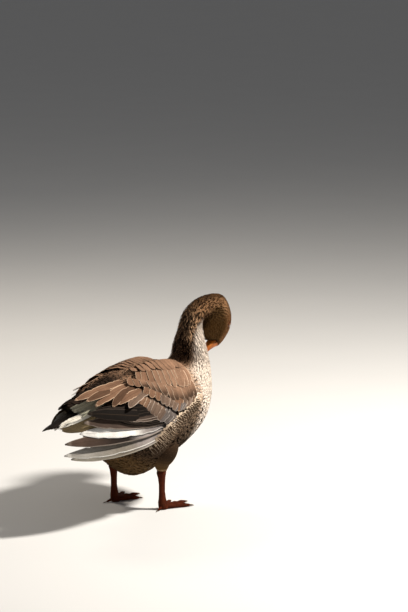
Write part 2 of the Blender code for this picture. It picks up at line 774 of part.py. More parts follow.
def bill_rings(above, steps=9, sides=16):
    """Rings of one half of the bill. Its flat side is the line of the mouth."""
    centre, forward, up, side = bill_frame()
    rings = []
    for i in range(steps + 1):
        along = i / steps
        ease = along**0.75
        half = BILL_BASE[0] * (1 - ease) + BILL_TIP[0] * ease
        if above:
            tall = BILL_BASE[1] * (1 - ease) + BILL_TIP[1] * ease
        else:
            tall = BILL_BASE[2] * (1 - along) + BILL_TIP[2] * along
            half *= LOWER_BILL_WIDTH
        past = max(0.0, (along - BILL_ROUND) / (1 - BILL_ROUND))
        close = 0.1 + 0.9 * math.sqrt(max(1.0 - past**2, 0.0))
        smile = -MOUTH_BEND * math.sin(math.pi * along) - MOUTH_DROP
        middle = centre + forward * (GAP + BILL_LENGTH * along * (1.0 if above else LOWER_BILL_REACH))
        sign = 1.0 if above else -1.0
        ring = []
        for k in range(sides):
            turn = math.pi * k / (sides - 1)
            rise = sign * tall * close * math.sin(turn) ** 0.9
            out = side * half * close * math.cos(turn)
            ring.append(middle + out + up * (smile + sign * GAP / 2 + rise))
        rings.append(ring)
    return rings


def bill(parts):
    """The two halves of the bill, parted by the line of the mouth, with nostrils and nail."""
    upper = loft("bill_upper", bill_rings(True), parts, "bill")
    lower = loft("bill_lower", bill_rings(False), parts, "bill")
    centre, forward, up, side = bill_frame()
    nail = ball("nail", np.zeros(3), 1.0)
    frame = np.stack([forward * NAIL_SIZE[0], side * NAIL_SIZE[1], up * NAIL_SIZE[2]], axis=1)
    spot = centre + forward * (BILL_LENGTH - NAIL_BACK) + up * NAIL_HIGH
    for vertex in nail.data.vertices:
        vertex.co = spot + frame @ np.array(vertex.co)
    fuse(upper, [nail])
    ease = NOSTRIL_PLACE**0.75
    high = up * (BILL_BASE[1] * (1 - ease) + BILL_TIP[1] * ease) * NOSTRIL_HIGH
    half = side * (BILL_BASE[0] * (1 - ease) + BILL_TIP[0] * ease) * NOSTRIL_OUT
    size = [forward * NOSTRIL_SIZE[0], side * NOSTRIL_SIZE[1], up * NOSTRIL_SIZE[2]]
    for _, hand in SIDES:
        spot = centre + forward * BILL_LENGTH * NOSTRIL_PLACE + high + half * hand
        hole = ball("nostril", np.zeros(3), 1.0)
        frame = np.stack(size, axis=1)
        for vertex in hole.data.vertices:
            vertex.co = spot + frame @ np.array(vertex.co)
        boolean(upper, hole, "DIFFERENCE")
        bpy.data.objects.remove(hole, do_unlink=True)
    return upper, lower


def tube_rings(stations, sides):
    """Level rings: each station is a centre, a half length along x and a half width along y."""
    turns = [2 * math.pi * k / sides for k in range(sides)]
    return [
        [(x + long * math.cos(turn), y + wide * math.sin(turn), z) for turn in turns]
        for x, y, z, long, wide in stations
    ]


def thigh(name, side, parts, cutter):
    """The feathered upper leg, cut clear of the torso that it comes out of."""
    x, y = LEG_X[name], LEG_Y * side
    stations = [
        (x - 0.002, y + 0.004 * side, 0.190, 0.030, 0.026),
        (x - 0.004, y + 0.009 * side, 0.168, 0.034, 0.034),
        (x - 0.006, y + 0.009 * side, 0.148, 0.031, 0.032),
        (x - 0.004, y + 0.005 * side, 0.130, 0.024, 0.024),
        (x - 0.001, y + 0.001 * side, 0.118, 0.0175, 0.0160),
        (x, y, FEATHER_EDGE_Z, 0.0150, 0.0130),
    ]
    smooth = [smooth_rows(stations, i * 0.5) for i in range(2 * len(stations) - 1)]
    made = loft(f"thigh_{name}", tube_rings(smooth, 20), parts, "plumage")
    boolean(made, cutter, "DIFFERENCE")
    return made


def shank(name, side, parts):
    """The bare leg from the feather edge over the hock to the ankle."""
    x, y = LEG_X[name], LEG_Y * side
    stations = [
        (x, y, FEATHER_EDGE_Z - GAP, 0.0115, 0.0098),
        (x - 0.002, y, HOCK_Z, 0.0138, 0.0116),
        (x - 0.001, y, 0.085, 0.0112, 0.0088),
        (x, y, 0.066, 0.0092, 0.0072),
        (x, y, 0.046, 0.0090, 0.0070),
        (x + 0.001, y, 0.029, 0.0104, 0.0086),
        (x + 0.002, y, ANKLE_Z + GAP, 0.0128, 0.0112),
    ]
    return loft(f"shank_{name}", tube_rings(stations, 14), parts, "leg")


def toe_path(angle, length, base, reach_back=False):
    """Points and radii along a toe, from inside the ankle to its end, just above the floor."""
    turn = math.radians(angle)
    heading = np.array([math.cos(turn), math.sin(turn), 0.0])
    size, high = (HIND_TOE_SIZE, HIND_TOE_RISE) if reach_back else (1.0, 0.0)
    rows = []
    for along, z, radius in TOE_STATIONS:
        up = np.array([0.0, 0.0, z * size + high * (1 - along)])
        rows.append((base + heading * length * along + up, radius * size))
    return heading, rows


def toe(name, angle, length, base, parts, reach_back=False):
    """One toe, flat underneath where it stands on the floor."""
    heading, rows = toe_path(angle, length, base, reach_back)
    across = np.array([-heading[1], heading[0], 0.0])
    rings = []
    for centre, radius in rows:
        ring = []
        for k in range(TOE_SIDES):
            turn = 2 * math.pi * k / TOE_SIDES
            point = centre + across * radius * math.cos(turn)
            ring.append(np.array([point[0], point[1], max(point[2] + radius * math.sin(turn), 0.0)]))
        rings.append(ring)
    return loft(name, rings, parts, "leg"), heading, rows[-1]


def claw(name, heading, end, parts):
    """A short bent claw that meets the end of its toe."""
    centre, radius = end
    across = np.array([-heading[1], heading[0], 0.0])
    rings = []
    for along, width, drop in CLAW_STATIONS:
        middle = centre + heading * (GAP + CLAW_LENGTH * along) - np.array([0, 0, drop])
        ring = []
        for k in range(TOE_SIDES):
            turn = 2 * math.pi * k / TOE_SIDES
            point = middle + across * radius * width * CLAW_FLATNESS * math.cos(turn)
            high = point[2] + radius * width * math.sin(turn)
            ring.append(np.array([point[0], point[1], max(high, CLAW_LEAST_Z)]))
        rings.append(ring)
    return loft(name, rings, parts, "claw")


def web(base, side, parts):
    """The skin between the front toes, with a hollow front edge between each two."""
    tips = []
    for toe_name in ("outer", "middle", "inner"):
        turn = math.radians(TOE_ANGLES[toe_name] * -side)
        tips.append((turn, TOE_LENGTHS[toe_name] * WEB_REACH))
    outline = [np.array([WEB_START, 0.0])]
    for (turn_a, far_a), (turn_b, far_b) in ((tips[0], tips[1]), (tips[1], tips[2])):
        for i in range(WEB_STEPS + 1):
            share = i / WEB_STEPS
            turn = turn_a * (1 - share) + turn_b * share
            hollow = 1.0 - WEB_HOLLOW * math.sin(math.pi * share)
            far = (far_a * (1 - share) + far_b * share) * hollow
            if share or turn_a == tips[0][0]:
                outline.append(np.array([math.cos(turn), math.sin(turn)]) * far)
    count = len(outline)
    points = []
    for z in (WEB_Z, WEB_Z + WEB_THICK):
        points += [(base[0] + p[0], base[1] + p[1], z) for p in outline]
    fans = range(1, count - 1)
    faces = [(0, k + 1, k) for k in fans] + [(count, count + k, count + k + 1) for k in fans]
    faces += [(k, (k + 1) % count, count + (k + 1) % count, count + k) for k in range(count)]
    return mesh_object("web", points, faces, parts, "leg")


def foot(name, side, parts):
    """A webbed foot: the ankle, three front toes, the web and the small hind toe, with its claws."""
    x, y = LEG_X[name] + ANKLE_AHEAD, LEG_Y * side
    base = np.array([x, y, 0.0])
    ankle = loft(f"foot_{name}", tube_rings([
        (x + 0.004, y, 0.0, 0.0120, 0.0110),
        (x + 0.003, y, 0.006, 0.0135, 0.0125),
        (x, y, ANKLE_Z, 0.0122, 0.0108),
    ], 14), parts, "leg")
    pieces = [web(base, side, parts)]
    for toe_name, angle in TOE_ANGLES.items():
        made, heading, end = toe(toe_name, -side * angle, TOE_LENGTHS[toe_name], base, parts)
        pieces.append(made)
        claw(f"claw_{toe_name}_{name}", heading, end, parts)
    made, heading, end = toe("hind", HIND_TOE[0] * side, HIND_TOE[1], base, parts, reach_back=True)
    pieces.append(made)
    claw(f"claw_hind_{name}", heading, end, parts)
    return fuse(ankle, pieces)


def stand_on_origin(parts):
    """Move the whole bird so that the middle of its box is over the origin, and it stands on z = 0."""
    points = np.array([v.co for obj in parts.objects for v in obj.data.vertices])
    low, high = points.min(axis=0), points.max(axis=0)
    shift = np.array([-(low[0] + high[0]) / 2, -(low[1] + high[1]) / 2, -low[2]])
    for obj in parts.objects:
        for vertex in obj.data.vertices:
            vertex.co = np.array(vertex.co) + shift


def build():
    """Make every node of the goose."""
    parts, cutters = clear_scene()
    torso = flesh_node("torso", parts)
    clear = swollen_copy(torso, CUT_GAP, "torso_clear", cutters)
    flesh_node("neck_lower", parts)
    flesh_node("neck_upper", parts)
    head(parts)
    for name, side in SIDES:
        spot, _ = eye_spot(side)
        eye = ball(f"eye_{name}", spot, EYE_RADIUS)
        move_to(eye, parts, "eye")
    bill(parts)
    for seed, (name, side) in enumerate(SIDES):
        wing(name, side, 11 + seed, parts, clear)
        thigh(name, side, parts, clear)
        shank(name, side, parts)
        foot(name, side, parts)
    tail(parts, clear)
    for obj in list(cutters.objects):
        bpy.data.objects.remove(obj, do_unlink=True)
    stand_on_origin(parts)


build()
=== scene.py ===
"""Looks of a standing Toulouse goose: skin, feathers, bill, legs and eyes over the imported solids.

The bird's form is repeated here from its stations, so that skin and feathers lie on one surface.
Sizes are in metres. A place counts the stations from the tail root to the base of the bill, and an
angle is in degrees from the middle of the back towards the bird's left.
"""

import json
import logging
import math
from dataclasses import dataclass
from enum import Enum
from typing import Callable, Sequence

import bmesh
import bpy
import numpy as np
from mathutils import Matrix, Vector
from mathutils.kdtree import KDTree

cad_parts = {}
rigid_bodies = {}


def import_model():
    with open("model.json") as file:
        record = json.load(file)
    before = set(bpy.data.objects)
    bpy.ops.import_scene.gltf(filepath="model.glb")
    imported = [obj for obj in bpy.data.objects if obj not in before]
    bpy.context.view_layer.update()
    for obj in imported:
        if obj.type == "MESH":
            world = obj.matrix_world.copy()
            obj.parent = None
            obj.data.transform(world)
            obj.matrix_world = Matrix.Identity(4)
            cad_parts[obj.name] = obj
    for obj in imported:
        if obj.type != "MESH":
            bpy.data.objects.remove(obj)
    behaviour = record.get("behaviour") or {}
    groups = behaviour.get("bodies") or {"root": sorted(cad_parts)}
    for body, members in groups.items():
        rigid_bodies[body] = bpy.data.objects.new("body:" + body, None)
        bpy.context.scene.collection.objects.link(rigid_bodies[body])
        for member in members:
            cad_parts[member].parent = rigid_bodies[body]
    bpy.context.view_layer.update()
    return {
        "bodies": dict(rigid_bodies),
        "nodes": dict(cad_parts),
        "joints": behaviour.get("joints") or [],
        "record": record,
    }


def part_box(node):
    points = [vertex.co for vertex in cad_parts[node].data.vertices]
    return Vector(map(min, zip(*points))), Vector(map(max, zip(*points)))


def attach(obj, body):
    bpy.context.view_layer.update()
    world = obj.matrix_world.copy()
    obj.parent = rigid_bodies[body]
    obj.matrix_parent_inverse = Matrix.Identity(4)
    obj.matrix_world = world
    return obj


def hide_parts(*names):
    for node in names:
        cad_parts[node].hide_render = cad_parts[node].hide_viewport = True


LOG = logging.getLogger("goose")
Array = np.ndarray
Colour = tuple[float, float, float]
BODY = "root"
PIECE_LIMIT = 190_000

# Each station: x and z of the back, x and z of the belly, the half width, and the share of the height at which
# the body is widest.
STATIONS = {
    "tail_root": (-0.202, 0.316, -0.190, 0.249, 0.041, 0.48),
    "vent": (-0.158, 0.330, -0.143, 0.195, 0.067, 0.52),
    "paunch": (-0.095, 0.345, -0.088, 0.130, 0.107, 0.55),
    "belly": (-0.015, 0.364, -0.014, 0.086, 0.130, 0.56),
    "keel": (0.055, 0.370, 0.070, 0.113, 0.135, 0.56),
    "breast_low": (0.098, 0.367, 0.160, 0.163, 0.131, 0.55),
    "breast": (0.122, 0.359, 0.213, 0.241, 0.107, 0.54),
    "shoulder": (0.144, 0.351, 0.235, 0.306, 0.081, 0.50),
    "neck_root": (0.162, 0.358, 0.247, 0.345, 0.060, 0.50),
    "neck_low": (0.168, 0.393, 0.242, 0.386, 0.049, 0.50),
    "neck_mid": (0.172, 0.421, 0.242, 0.412, 0.037, 0.50),
    "neck_high": (0.179, 0.453, 0.240, 0.431, 0.030, 0.50),
    "throat": (0.196, 0.483, 0.243, 0.443, 0.0265, 0.50),
    "poll": (0.231, 0.503, 0.249, 0.451, 0.0260, 0.50),
    "nape": (0.275, 0.512, 0.255, 0.453, 0.0275, 0.50),
    "crown": (0.325, 0.504, 0.259, 0.449, 0.0295, 0.52),
    "eye": (0.352, 0.459, 0.257, 0.437, 0.0300, 0.54),
    "face": (0.350, 0.417, 0.255, 0.418, 0.0272, 0.54),
    "lore": (0.328, 0.387, 0.260, 0.401, 0.0214, 0.52),
    "bill_base": (0.304, 0.370, 0.2845, 0.3995, 0.0160, 0.50),
}
TAIL_ROOT_X = -0.202
BELLY_PINCH = 0.20
EYE_PLACE = (16.7, 62.0)
EYE_CLEAR = 0.0078

LEG_Y = 0.070
LEG_X = {"left": -0.004, "right": 0.029}
SIDES = {"left": 1.0, "right": -1.0}
WING_LIFT = {"left": 0.6, "right": 1.0}
WING_SEEDS = {"left": 22, "right": 21}


def unit(vectors: Array) -> Array:
    """The vectors along the last axis at length 1."""
    return vectors / np.maximum(np.linalg.norm(vectors, axis=-1, keepdims=True), 1e-12)


def ease(values: Array, low: float, high: float) -> Array:
    """A smooth step from 0 at low to 1 at high."""
    share = np.clip((np.asarray(values, float) - low) / (high - low), 0.0, 1.0)
    return share * share * (3.0 - 2.0 * share)


def mixed(first: Array, second: Array | Colour, share: Array) -> Array:
    """Colours blended by a share for each."""
    share = np.asarray(share)[..., None]
    return first * (1.0 - share) + np.asarray(second) * share


def read_rows(rows: Sequence[Sequence[float]], share: Array) -> Array:
    """Values at shares of the way along evenly spaced rows."""
    rows = np.asarray(rows, float)
    places = np.linspace(0.0, 1.0, len(rows))
    return np.stack([np.interp(share, places, rows[:, k]) for k in range(rows.shape[1])], -1)


class Form:
    """A long rounded form, read by place along it and angle round it."""

    direction = -1.0
    handed = 1.0

    def __init__(self, rows: Sequence[Sequence[float]], shift: Array) -> None:
        """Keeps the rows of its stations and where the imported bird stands."""
        self.rows = np.asarray(rows, float)
        self.shift = shift

    @property
    def last(self) -> float:
        """The place of the last station."""
        return float(len(self.rows) - 1)

    def rows_at(self, place: Array) -> Array:
        """The stations' values between two of them, on a Catmull-Rom curve, and straight beyond."""
        kept = np.clip(place, 0.0, self.last)
        i = np.minimum(kept.astype(int), len(self.rows) - 2)
        f = (kept - i)[..., None]
        here, there = self.rows[i], self.rows[i + 1]
        before, after = self.rows[np.maximum(i - 1, 0)], self.rows[np.minimum(i + 2, len(self.rows) - 1)]
        curve = 0.5 * (
            2 * here
            + (there - before) * f
            + (2 * before - 5 * here + 4 * there - after) * f**2
            + (3 * here - before - 3 * there + after) * f**3
        )
        return curve + (place - kept)[..., None] * (there - here)

    def bare(self, place: Array, angle: Array) -> Array:
        """Points of the form itself."""
        raise NotImplementedError

    def swell(self, place: Array, angle: Array) -> Array:
        """How far the form stands off its own stations."""
        return np.zeros_like(place)

    def depth(self, place: Array) -> Array:
        """The depth of the coat."""
        return np.full_like(place, 0.0035)

    def normal(self, place: Array, angle: Array) -> Array:
        """The outward directions."""
        along = self.bare(place + 0.05, angle) - self.bare(place - 0.05, angle)
        around = self.bare(place, angle + 2.0) - self.bare(place, angle - 2.0)
        return unit(np.cross(along, around)) * self.handed

    def point(self, place: Array, angle: Array, lift: Array | float = 0.0) -> Array:
        """Points at a height above the outer form."""
        place, angle = np.broadcast_arrays(np.asarray(place, float), np.asarray(angle, float))
        high = self.swell(place, angle) + lift
        return self.bare(place, angle) + self.normal(place, angle) * np.asarray(high)[..., None] + self.shift

    def stretch(self, place: Array, angle: Array) -> tuple[Array, Array]:
        """Metres for one place and for one degree."""
        along = self.bare(place + 0.05, angle) - self.bare(place - 0.05, angle)
        around = self.bare(place, angle + 1.0) - self.bare(place, angle - 1.0)
        return np.linalg.norm(along, axis=-1) / 0.1, np.linalg.norm(around, axis=-1) / 2.0

    def unwrap(self, place: Array, angle: Array) -> Array:
        """The spot on the unwrap of the form, inside the unit square."""
        wrapped = (np.asarray(angle) + 180.0) % 360.0
        return np.stack([0.02 + 0.96 * np.clip(place / self.last, 0, 1), 0.02 + 0.96 * wrapped / 360.0], -1)


class BodyForm(Form):
    """The body, neck and head, with the mass of the folded wings and the furrows of the neck."""

    PAD_DEPTH = {"left": 0.004, "right": 0.010}
    PAD_SPAN = (0.95, 4.85)
    FURROWS = 34
    FURROW_TWIST = 38.0

    def __init__(self, shift: Array) -> None:
        """Reads the stations."""
        super().__init__(list(STATIONS.values()), shift)

    def bare(self, place: Array, angle: Array) -> Array:
        """Points of the flesh."""
        place, angle = np.broadcast_arrays(np.asarray(place, float), np.asarray(angle, float))
        row = self.rows_at(place)
        zero = np.zeros_like(place)
        back = np.stack([row[..., 0], zero, row[..., 1]], -1)
        belly = np.stack([row[..., 2], zero, row[..., 3]], -1)
        half, widest = row[..., 4], row[..., 5]
        height = np.linalg.norm(back - belly, axis=-1)
        up = unit(back - belly)
        turn = np.radians(angle)
        rise = np.cos(turn)
        reach = np.where(rise > 0, 1.0 - widest, widest) * height
        pinch = BELLY_PINCH * np.clip(6.0 - place, 0, 1) * np.minimum(rise, 0) ** 2
        points = belly + (back - belly) * widest[..., None] + up * (rise * reach)[..., None]
        points[..., 1] += np.sin(turn) * half * (1.0 - pinch)
        return points

    def pad_edges(self, place: Array) -> tuple[Array, Array]:
        """The upper and lower edge of the folded wing."""
        low = np.interp(place, (0.9, 1.6, 3.6, 4.4, 4.9), (16.0, 10.0, 10.0, 15.0, 34.0))
        high = np.interp(
            place,
            (0.9, 1.5, 2.0, 2.45, 2.9, 3.4, 4.0, 4.5, 4.9),
            (46.0, 66.0, 80.0, 98.0, 97.0, 86.0, 78.0, 71.0, 58.0),
        )
        return low, high

    def pad(self, place: Array, angle: Array) -> Array:
        """How far the folded wing stands off the flesh."""
        depth = np.where(angle > 0, self.PAD_DEPTH["left"], self.PAD_DEPTH["right"])
        along = (place - self.PAD_SPAN[0]) / (self.PAD_SPAN[1] - self.PAD_SPAN[0])
        low, high = self.pad_edges(place)
        across = (np.abs(angle) - low) / (high - low)
        inside = (along > 0) & (along < 1) & (across > 0) & (across < 1)
        along, across = np.clip(along, 0, 1), np.clip(across, 0, 1)
        ends = np.minimum(1, along / 0.25) ** 0.5 * np.minimum(1, (1 - along) / 0.22) ** 0.5
        edges = np.minimum(1, across / 0.14) ** 0.5 * np.minimum(1, (1 - across) / 0.45) ** 0.7
        return np.where(inside, depth * ends * edges, 0.0)

    def furrow(self, place: Array, angle: Array) -> Array:
        """The ridges of the neck's plumage: 1 on a ridge, 0 in a furrow."""
        bend = 9.0 * np.sin(place * 1.9 + 0.7) + 6.0 * np.sin(np.radians(angle) * 3.0 + place * 1.3)
        lean = np.sign(angle) * self.FURROW_TWIST * (place - 9.0)
        phase = np.radians((angle + lean + bend) * self.FURROWS / 2.0)
        return np.abs(np.sin(phase)) ** 0.8

    def furrow_depth(self, place: Array) -> Array:
        """How deep the furrows are along the neck."""
        return np.interp(place, (6.8, 8.2, 10.0, 13.4, 15.2, 16.4), (0, 0.0014, 0.0030, 0.0032, 0.0020, 0.0))

    def dewlap(self, place: Array, angle: Array) -> Array:
        """The loose feathers of the throat."""
        down = np.abs((angle + 180.0) % 360.0 - 180.0)
        return 0.0055 * ease(place, 16.4, 17.6) * (1 - ease(place, 18.5, 19.0)) * ease(down, 105, 150)

    def swell(self, place: Array, angle: Array) -> Array:
        """The folded wings, the furrows and the throat."""
        ridges = self.furrow_depth(place) * (self.furrow(place, angle) - 0.75)
        return self.pad(place, angle) + ridges + self.dewlap(place, angle)

    def depth(self, place: Array) -> Array:
        """The depth of the coat, thin on the head."""
        return np.interp(place, (0, 7, 9, 13, 15, 18.5, 19), (4e-3, 4e-3, 3.4e-3, 3e-3, 2e-3, 1.2e-3, 8e-4))


class ThighForm(Form):
    """The feathered upper leg, read from its top down."""

    direction = 1.0
    handed = -1.0

    def __init__(self, hand: str, shift: Array) -> None:
        """Reads the stations of one thigh."""
        x, side = LEG_X[hand], SIDES[hand]
        y = LEG_Y * side
        rows = [
            (x - 0.002, y + 0.004 * side, 0.190, 0.030, 0.026),
            (x - 0.004, y + 0.009 * side, 0.168, 0.034, 0.034),
            (x - 0.006, y + 0.009 * side, 0.148, 0.031, 0.032),
            (x - 0.004, y + 0.005 * side, 0.130, 0.024, 0.024),
            (x - 0.001, y + 0.001 * side, 0.118, 0.0175, 0.0160),
            (x, y, 0.108, 0.0150, 0.0130),
        ]
        super().__init__(rows, shift)

    def bare(self, place: Array, angle: Array) -> Array:
        """Points of the leg."""
        place, angle = np.broadcast_arrays(np.asarray(place, float), np.asarray(angle, float))
        x, y, z, long, wide = np.moveaxis(self.rows_at(place), -1, 0)
        turn = np.radians(angle)
        return np.stack([x + long * np.cos(turn), y + wide * np.sin(turn), z], -1)

    def depth(self, place: Array) -> Array:
        """The depth of the coat, thin at the feather edge."""
        return np.interp(place, (0, 3, 4.4, 5), (5e-3, 4e-3, 2.4e-3, 1.5e-3))


class Palette:
    """The colours of the plumage, as albedo. Several hold painted shade, as their comments say."""

    BACK = (0.250, 0.140, 0.085)
    BACK_RIM = (0.50, 0.335, 0.225)
    FLANK = (0.066, 0.043, 0.027)
    FLANK_RIM = (0.36, 0.26, 0.18)
    # The lower flank's dark brown, darkened further with painted shade where the body turns down.
    LOW_FLANK_SHADE = (0.036, 0.021, 0.012)
    LOW_FLANK_SHADE_RIM = (0.15, 0.095, 0.058)
    # The pale underside, painted olive-brown with shade.
    BELLY_IN_SHADE = (0.110, 0.062, 0.025)
    BELLY_IN_SHADE_RIM = (0.23, 0.145, 0.070)
    BREAST = (0.78, 0.67, 0.575)
    BREAST_RIM = (0.87, 0.77, 0.68)
    SHOULDER = (0.50, 0.335, 0.230)
    # The neck's dark brown, deepened with painted shade. Its rim colour also lays painted highlight on the neck's
    # ridges.
    NECK = (0.013, 0.0065, 0.004)
    NECK_RIM = (0.68, 0.42, 0.245)
    NECK_FRONT = (0.74, 0.60, 0.47)
    NAPE = (0.024, 0.010, 0.004)
    NAPE_RIM = (0.40, 0.215, 0.105)
    CROWN = (0.130, 0.055, 0.019)
    CROWN_RIM = (0.50, 0.28, 0.14)
    # Painted shade over the underside of the head. The crown above keeps the head's brown.
    HEAD_UNDERSIDE_SHADE = (0.056, 0.027, 0.008)
    HEAD_UNDERSIDE_SHADE_RIM = (0.12, 0.065, 0.024)
    # The white vent, painted olive with shade.
    VENT_IN_SHADE = (0.21, 0.165, 0.100)
    VENT_IN_SHADE_RIM = (0.36, 0.29, 0.19)
    # Nearly black: the dark top of the rump, and painted shade between the folded wings and beneath their tertials.
    DARK_RUMP_AND_GAP_SHADE = (0.022, 0.014, 0.010)
    DARK_RUMP_AND_GAP_SHADE_RIM = (0.10, 0.065, 0.045)
    THIGH = (0.25, 0.155, 0.080)
    THIGH_RIM = (0.38, 0.265, 0.165)


class Markings:
    """The colours of skin and coat over the body, the same for both. They hold painted shade in the neck's furrows,
    under the head, on the lower flank, belly and vent, and between and beneath the folded wings, and painted
    highlight on the neck's ridges.
    """

    def __init__(self, form: BodyForm) -> None:
        """Keeps the form whose furrows are darker."""
        self.form = form

    def read(self, place: Array, angle: Array) -> tuple[Array, Array, Array]:
        """The web colour, the rim colour and the rim's strength at each spot.

        Args:
            place: Places along the body.
            angle: Angles round it.

        Returns:
            Two arrays of colours and one of strengths from 0 to 1.
        """
        place, angle = np.broadcast_arrays(np.asarray(place, float), np.asarray(angle, float))
        down = np.abs((angle + 180.0) % 360.0 - 180.0)
        web = np.tile(np.array(Palette.BACK), (*place.shape, 1))
        rim = np.tile(np.array(Palette.BACK_RIM), (*place.shape, 1))
        strength = np.full(place.shape, 0.75)

        def lay(share: Array, web_colour: Colour, rim_colour: Colour, rim_share: float) -> None:
            """Blends a zone over what is there."""
            nonlocal web, rim, strength
            web, rim = mixed(web, web_colour, share), mixed(rim, rim_colour, share)
            strength = strength * (1 - share) + rim_share * share

        flank = ease(down, 72, 100) * ease(place, 0.8, 2.0) * (1 - ease(place, 7.0, 8.0))
        lay(flank, Palette.FLANK, Palette.FLANK_RIM, 0.95)
        # Painted shade on the lower flank, below the folded wing.
        low = ease(down, 96, 114) * ease(place, 0.8, 2.0) * (1 - ease(place, 3.5, 4.7))
        lay(low, Palette.LOW_FLANK_SHADE, Palette.LOW_FLANK_SHADE_RIM, 0.6)
        # Painted shade over the underside of the body.
        lay(ease(down, 124, 146) * (1 - ease(place, 4.6, 6.2)), Palette.BELLY_IN_SHADE, Palette.BELLY_IN_SHADE_RIM, 0.35)
        shoulder = ease(place, 4.4, 5.2) * (1 - ease(place, 7.4, 8.6)) * ease(down, 22, 50)
        lay(shoulder, Palette.SHOULDER, Palette.BREAST_RIM, 0.7)
        edge = np.interp(
            place,
            (4.2, 4.6, 5.0, 5.6, 6.4, 7.0, 8.0, 9.2, 10.2, 11.0, 12.0, 13.0),
            (150.0, 112.0, 86.0, 58.0, 46.0, 44.0, 44.0, 46.0, 54.0, 72.0, 100.0, 128.0),
        )
        front = ease(down - edge, -14, 14) * ease(place, 4.2, 4.8) * (1 - ease(place, 12.4, 14.0))
        lay(front, Palette.BREAST, Palette.BREAST_RIM, 0.6)
        lay(ease(place, 7.3, 8.8) * (1 - front), Palette.NECK, Palette.NECK_RIM, 0.45)
        throat = ease(down, 120, 155) * ease(place, 10.5, 12.0) * (1 - ease(place, 13.2, 14.5))
        lay(throat * 0.7, Palette.NECK_FRONT, Palette.BREAST_RIM, 0.8)
        lay(ease(place, 10.6, 13.2), Palette.NAPE, Palette.NAPE_RIM, 0.6)
        head = ease(place, 13.6, 14.9)
        lay(head, Palette.CROWN, Palette.CROWN_RIM, 0.6)
        # Painted shade on the side of the head that turns down towards the neck.
        lay(head * ease(down, 72, 98), Palette.HEAD_UNDERSIDE_SHADE, Palette.HEAD_UNDERSIDE_SHADE_RIM, 0.35)
        # Painted shade on the white vent, low on the rump.
        lay((1 - ease(place, 0.55, 1.5)) * ease(down, 40, 80), Palette.VENT_IN_SHADE, Palette.VENT_IN_SHADE_RIM, 0.5)
        # The top of the rump, by the tail, is dark.
        lay((1 - ease(place, 0.9, 1.6)) * (1 - ease(down, 50, 80)), Palette.DARK_RUMP_AND_GAP_SHADE, Palette.DARK_RUMP_AND_GAP_SHADE_RIM, 0.3)
        # Painted shade: the gap between the wings along the back, and the back's sides beneath the tertials.
        between = ease(place, 0.5, 1.0) * (1 - ease(place, 2.2, 2.9)) * (1 - ease(down, 9, 22))
        beneath = ease(place, 0.7, 1.2) * (1 - ease(place, 2.4, 3.0)) * ease(down, 28, 42) * (1 - ease(down, 74, 90))
        lay(np.maximum(between, beneath * 0.9), Palette.DARK_RUMP_AND_GAP_SHADE, Palette.DARK_RUMP_AND_GAP_SHADE_RIM, 0.4)
        # Painted shade in the neck's furrows, less on the pale front. The ridges take the rim colour: partly pale
        # tufts, partly painted highlight.
        deep = ease(self.form.furrow_depth(place), 0.0, 0.0018)
        ridge = self.form.furrow(place, angle)
        groove = 1 - ease(ridge, 0.05, 1.0) ** (1 / (1 + 2.5 * front))
        bright = front * ease(down, 46, 84)
        dark = 1 - deep * groove * (0.92 - 0.12 * front - 0.62 * bright)
        tufts = ease(place, 9.0, 10.6) * (0.22 + 0.78 * ease(down, 24, 56))
        pale_tufts_and_highlight = deep * ease(ridge, 0.55, 1.0) * tufts * (1 - front)
        web = mixed(web * dark[..., None], rim, pale_tufts_and_highlight)
        return web, rim * dark[..., None], strength


class Lie(Enum):
    """The outline of a feather: widths at shares of its length."""

    ROUND = ((0.0, 0.42), (0.28, 0.92), (0.58, 1.0), (0.82, 0.84), (0.95, 0.48), (1.0, 0.16))
    BLUNT = ((0.0, 0.42), (0.28, 0.90), (0.60, 1.0), (0.86, 0.92), (0.96, 0.62), (1.0, 0.28))
    POINTED = ((0.0, 0.45), (0.25, 0.95), (0.50, 0.92), (0.74, 0.62), (0.92, 0.30), (1.0, 0.10))
    FLIGHT = ((0.0, 0.22), (0.12, 0.50), (0.32, 0.92), (0.66, 1.0), (0.83, 0.86), (0.94, 0.48), (1.0, 0.10))
    LONG = ((0.0, 0.30), (0.18, 0.80), (0.50, 1.0), (0.76, 0.90), (0.90, 0.60), (0.97, 0.30), (1.0, 0.10))
    COVERT = ((0.0, 0.55), (0.22, 0.90), (0.55, 1.0), (0.82, 0.90), (0.94, 0.60), (1.0, 0.22))

    def sections(self, count: int) -> tuple[Array, Array]:
        """Shares of the length and widths there, closer towards the tip."""
        along = np.linspace(0.0, 1.0, count) ** 0.85
        stops = np.array(self.value)
        return along, np.interp(along, stops[:, 0], stops[:, 1])


@dataclass
class Blades:
    """Many feathers as arrays. Each is a line of points along its shaft."""

    line: Array
    out: Array
    half: Array
    web: Array
    rim: Array
    root: Array
    along: Array
    shaft: float = 0.5

    def part(self, first: int, last: int) -> "Blades":
        """Some of the feathers."""
        cut = slice(first, last)
        return Blades(
            self.line[cut], self.out[cut], self.half[cut], self.web[cut], self.rim[cut], self.root[cut],
            self.along, self.shaft,
        )

    def __len__(self) -> int:
        """The number of feathers."""
        return len(self.line)


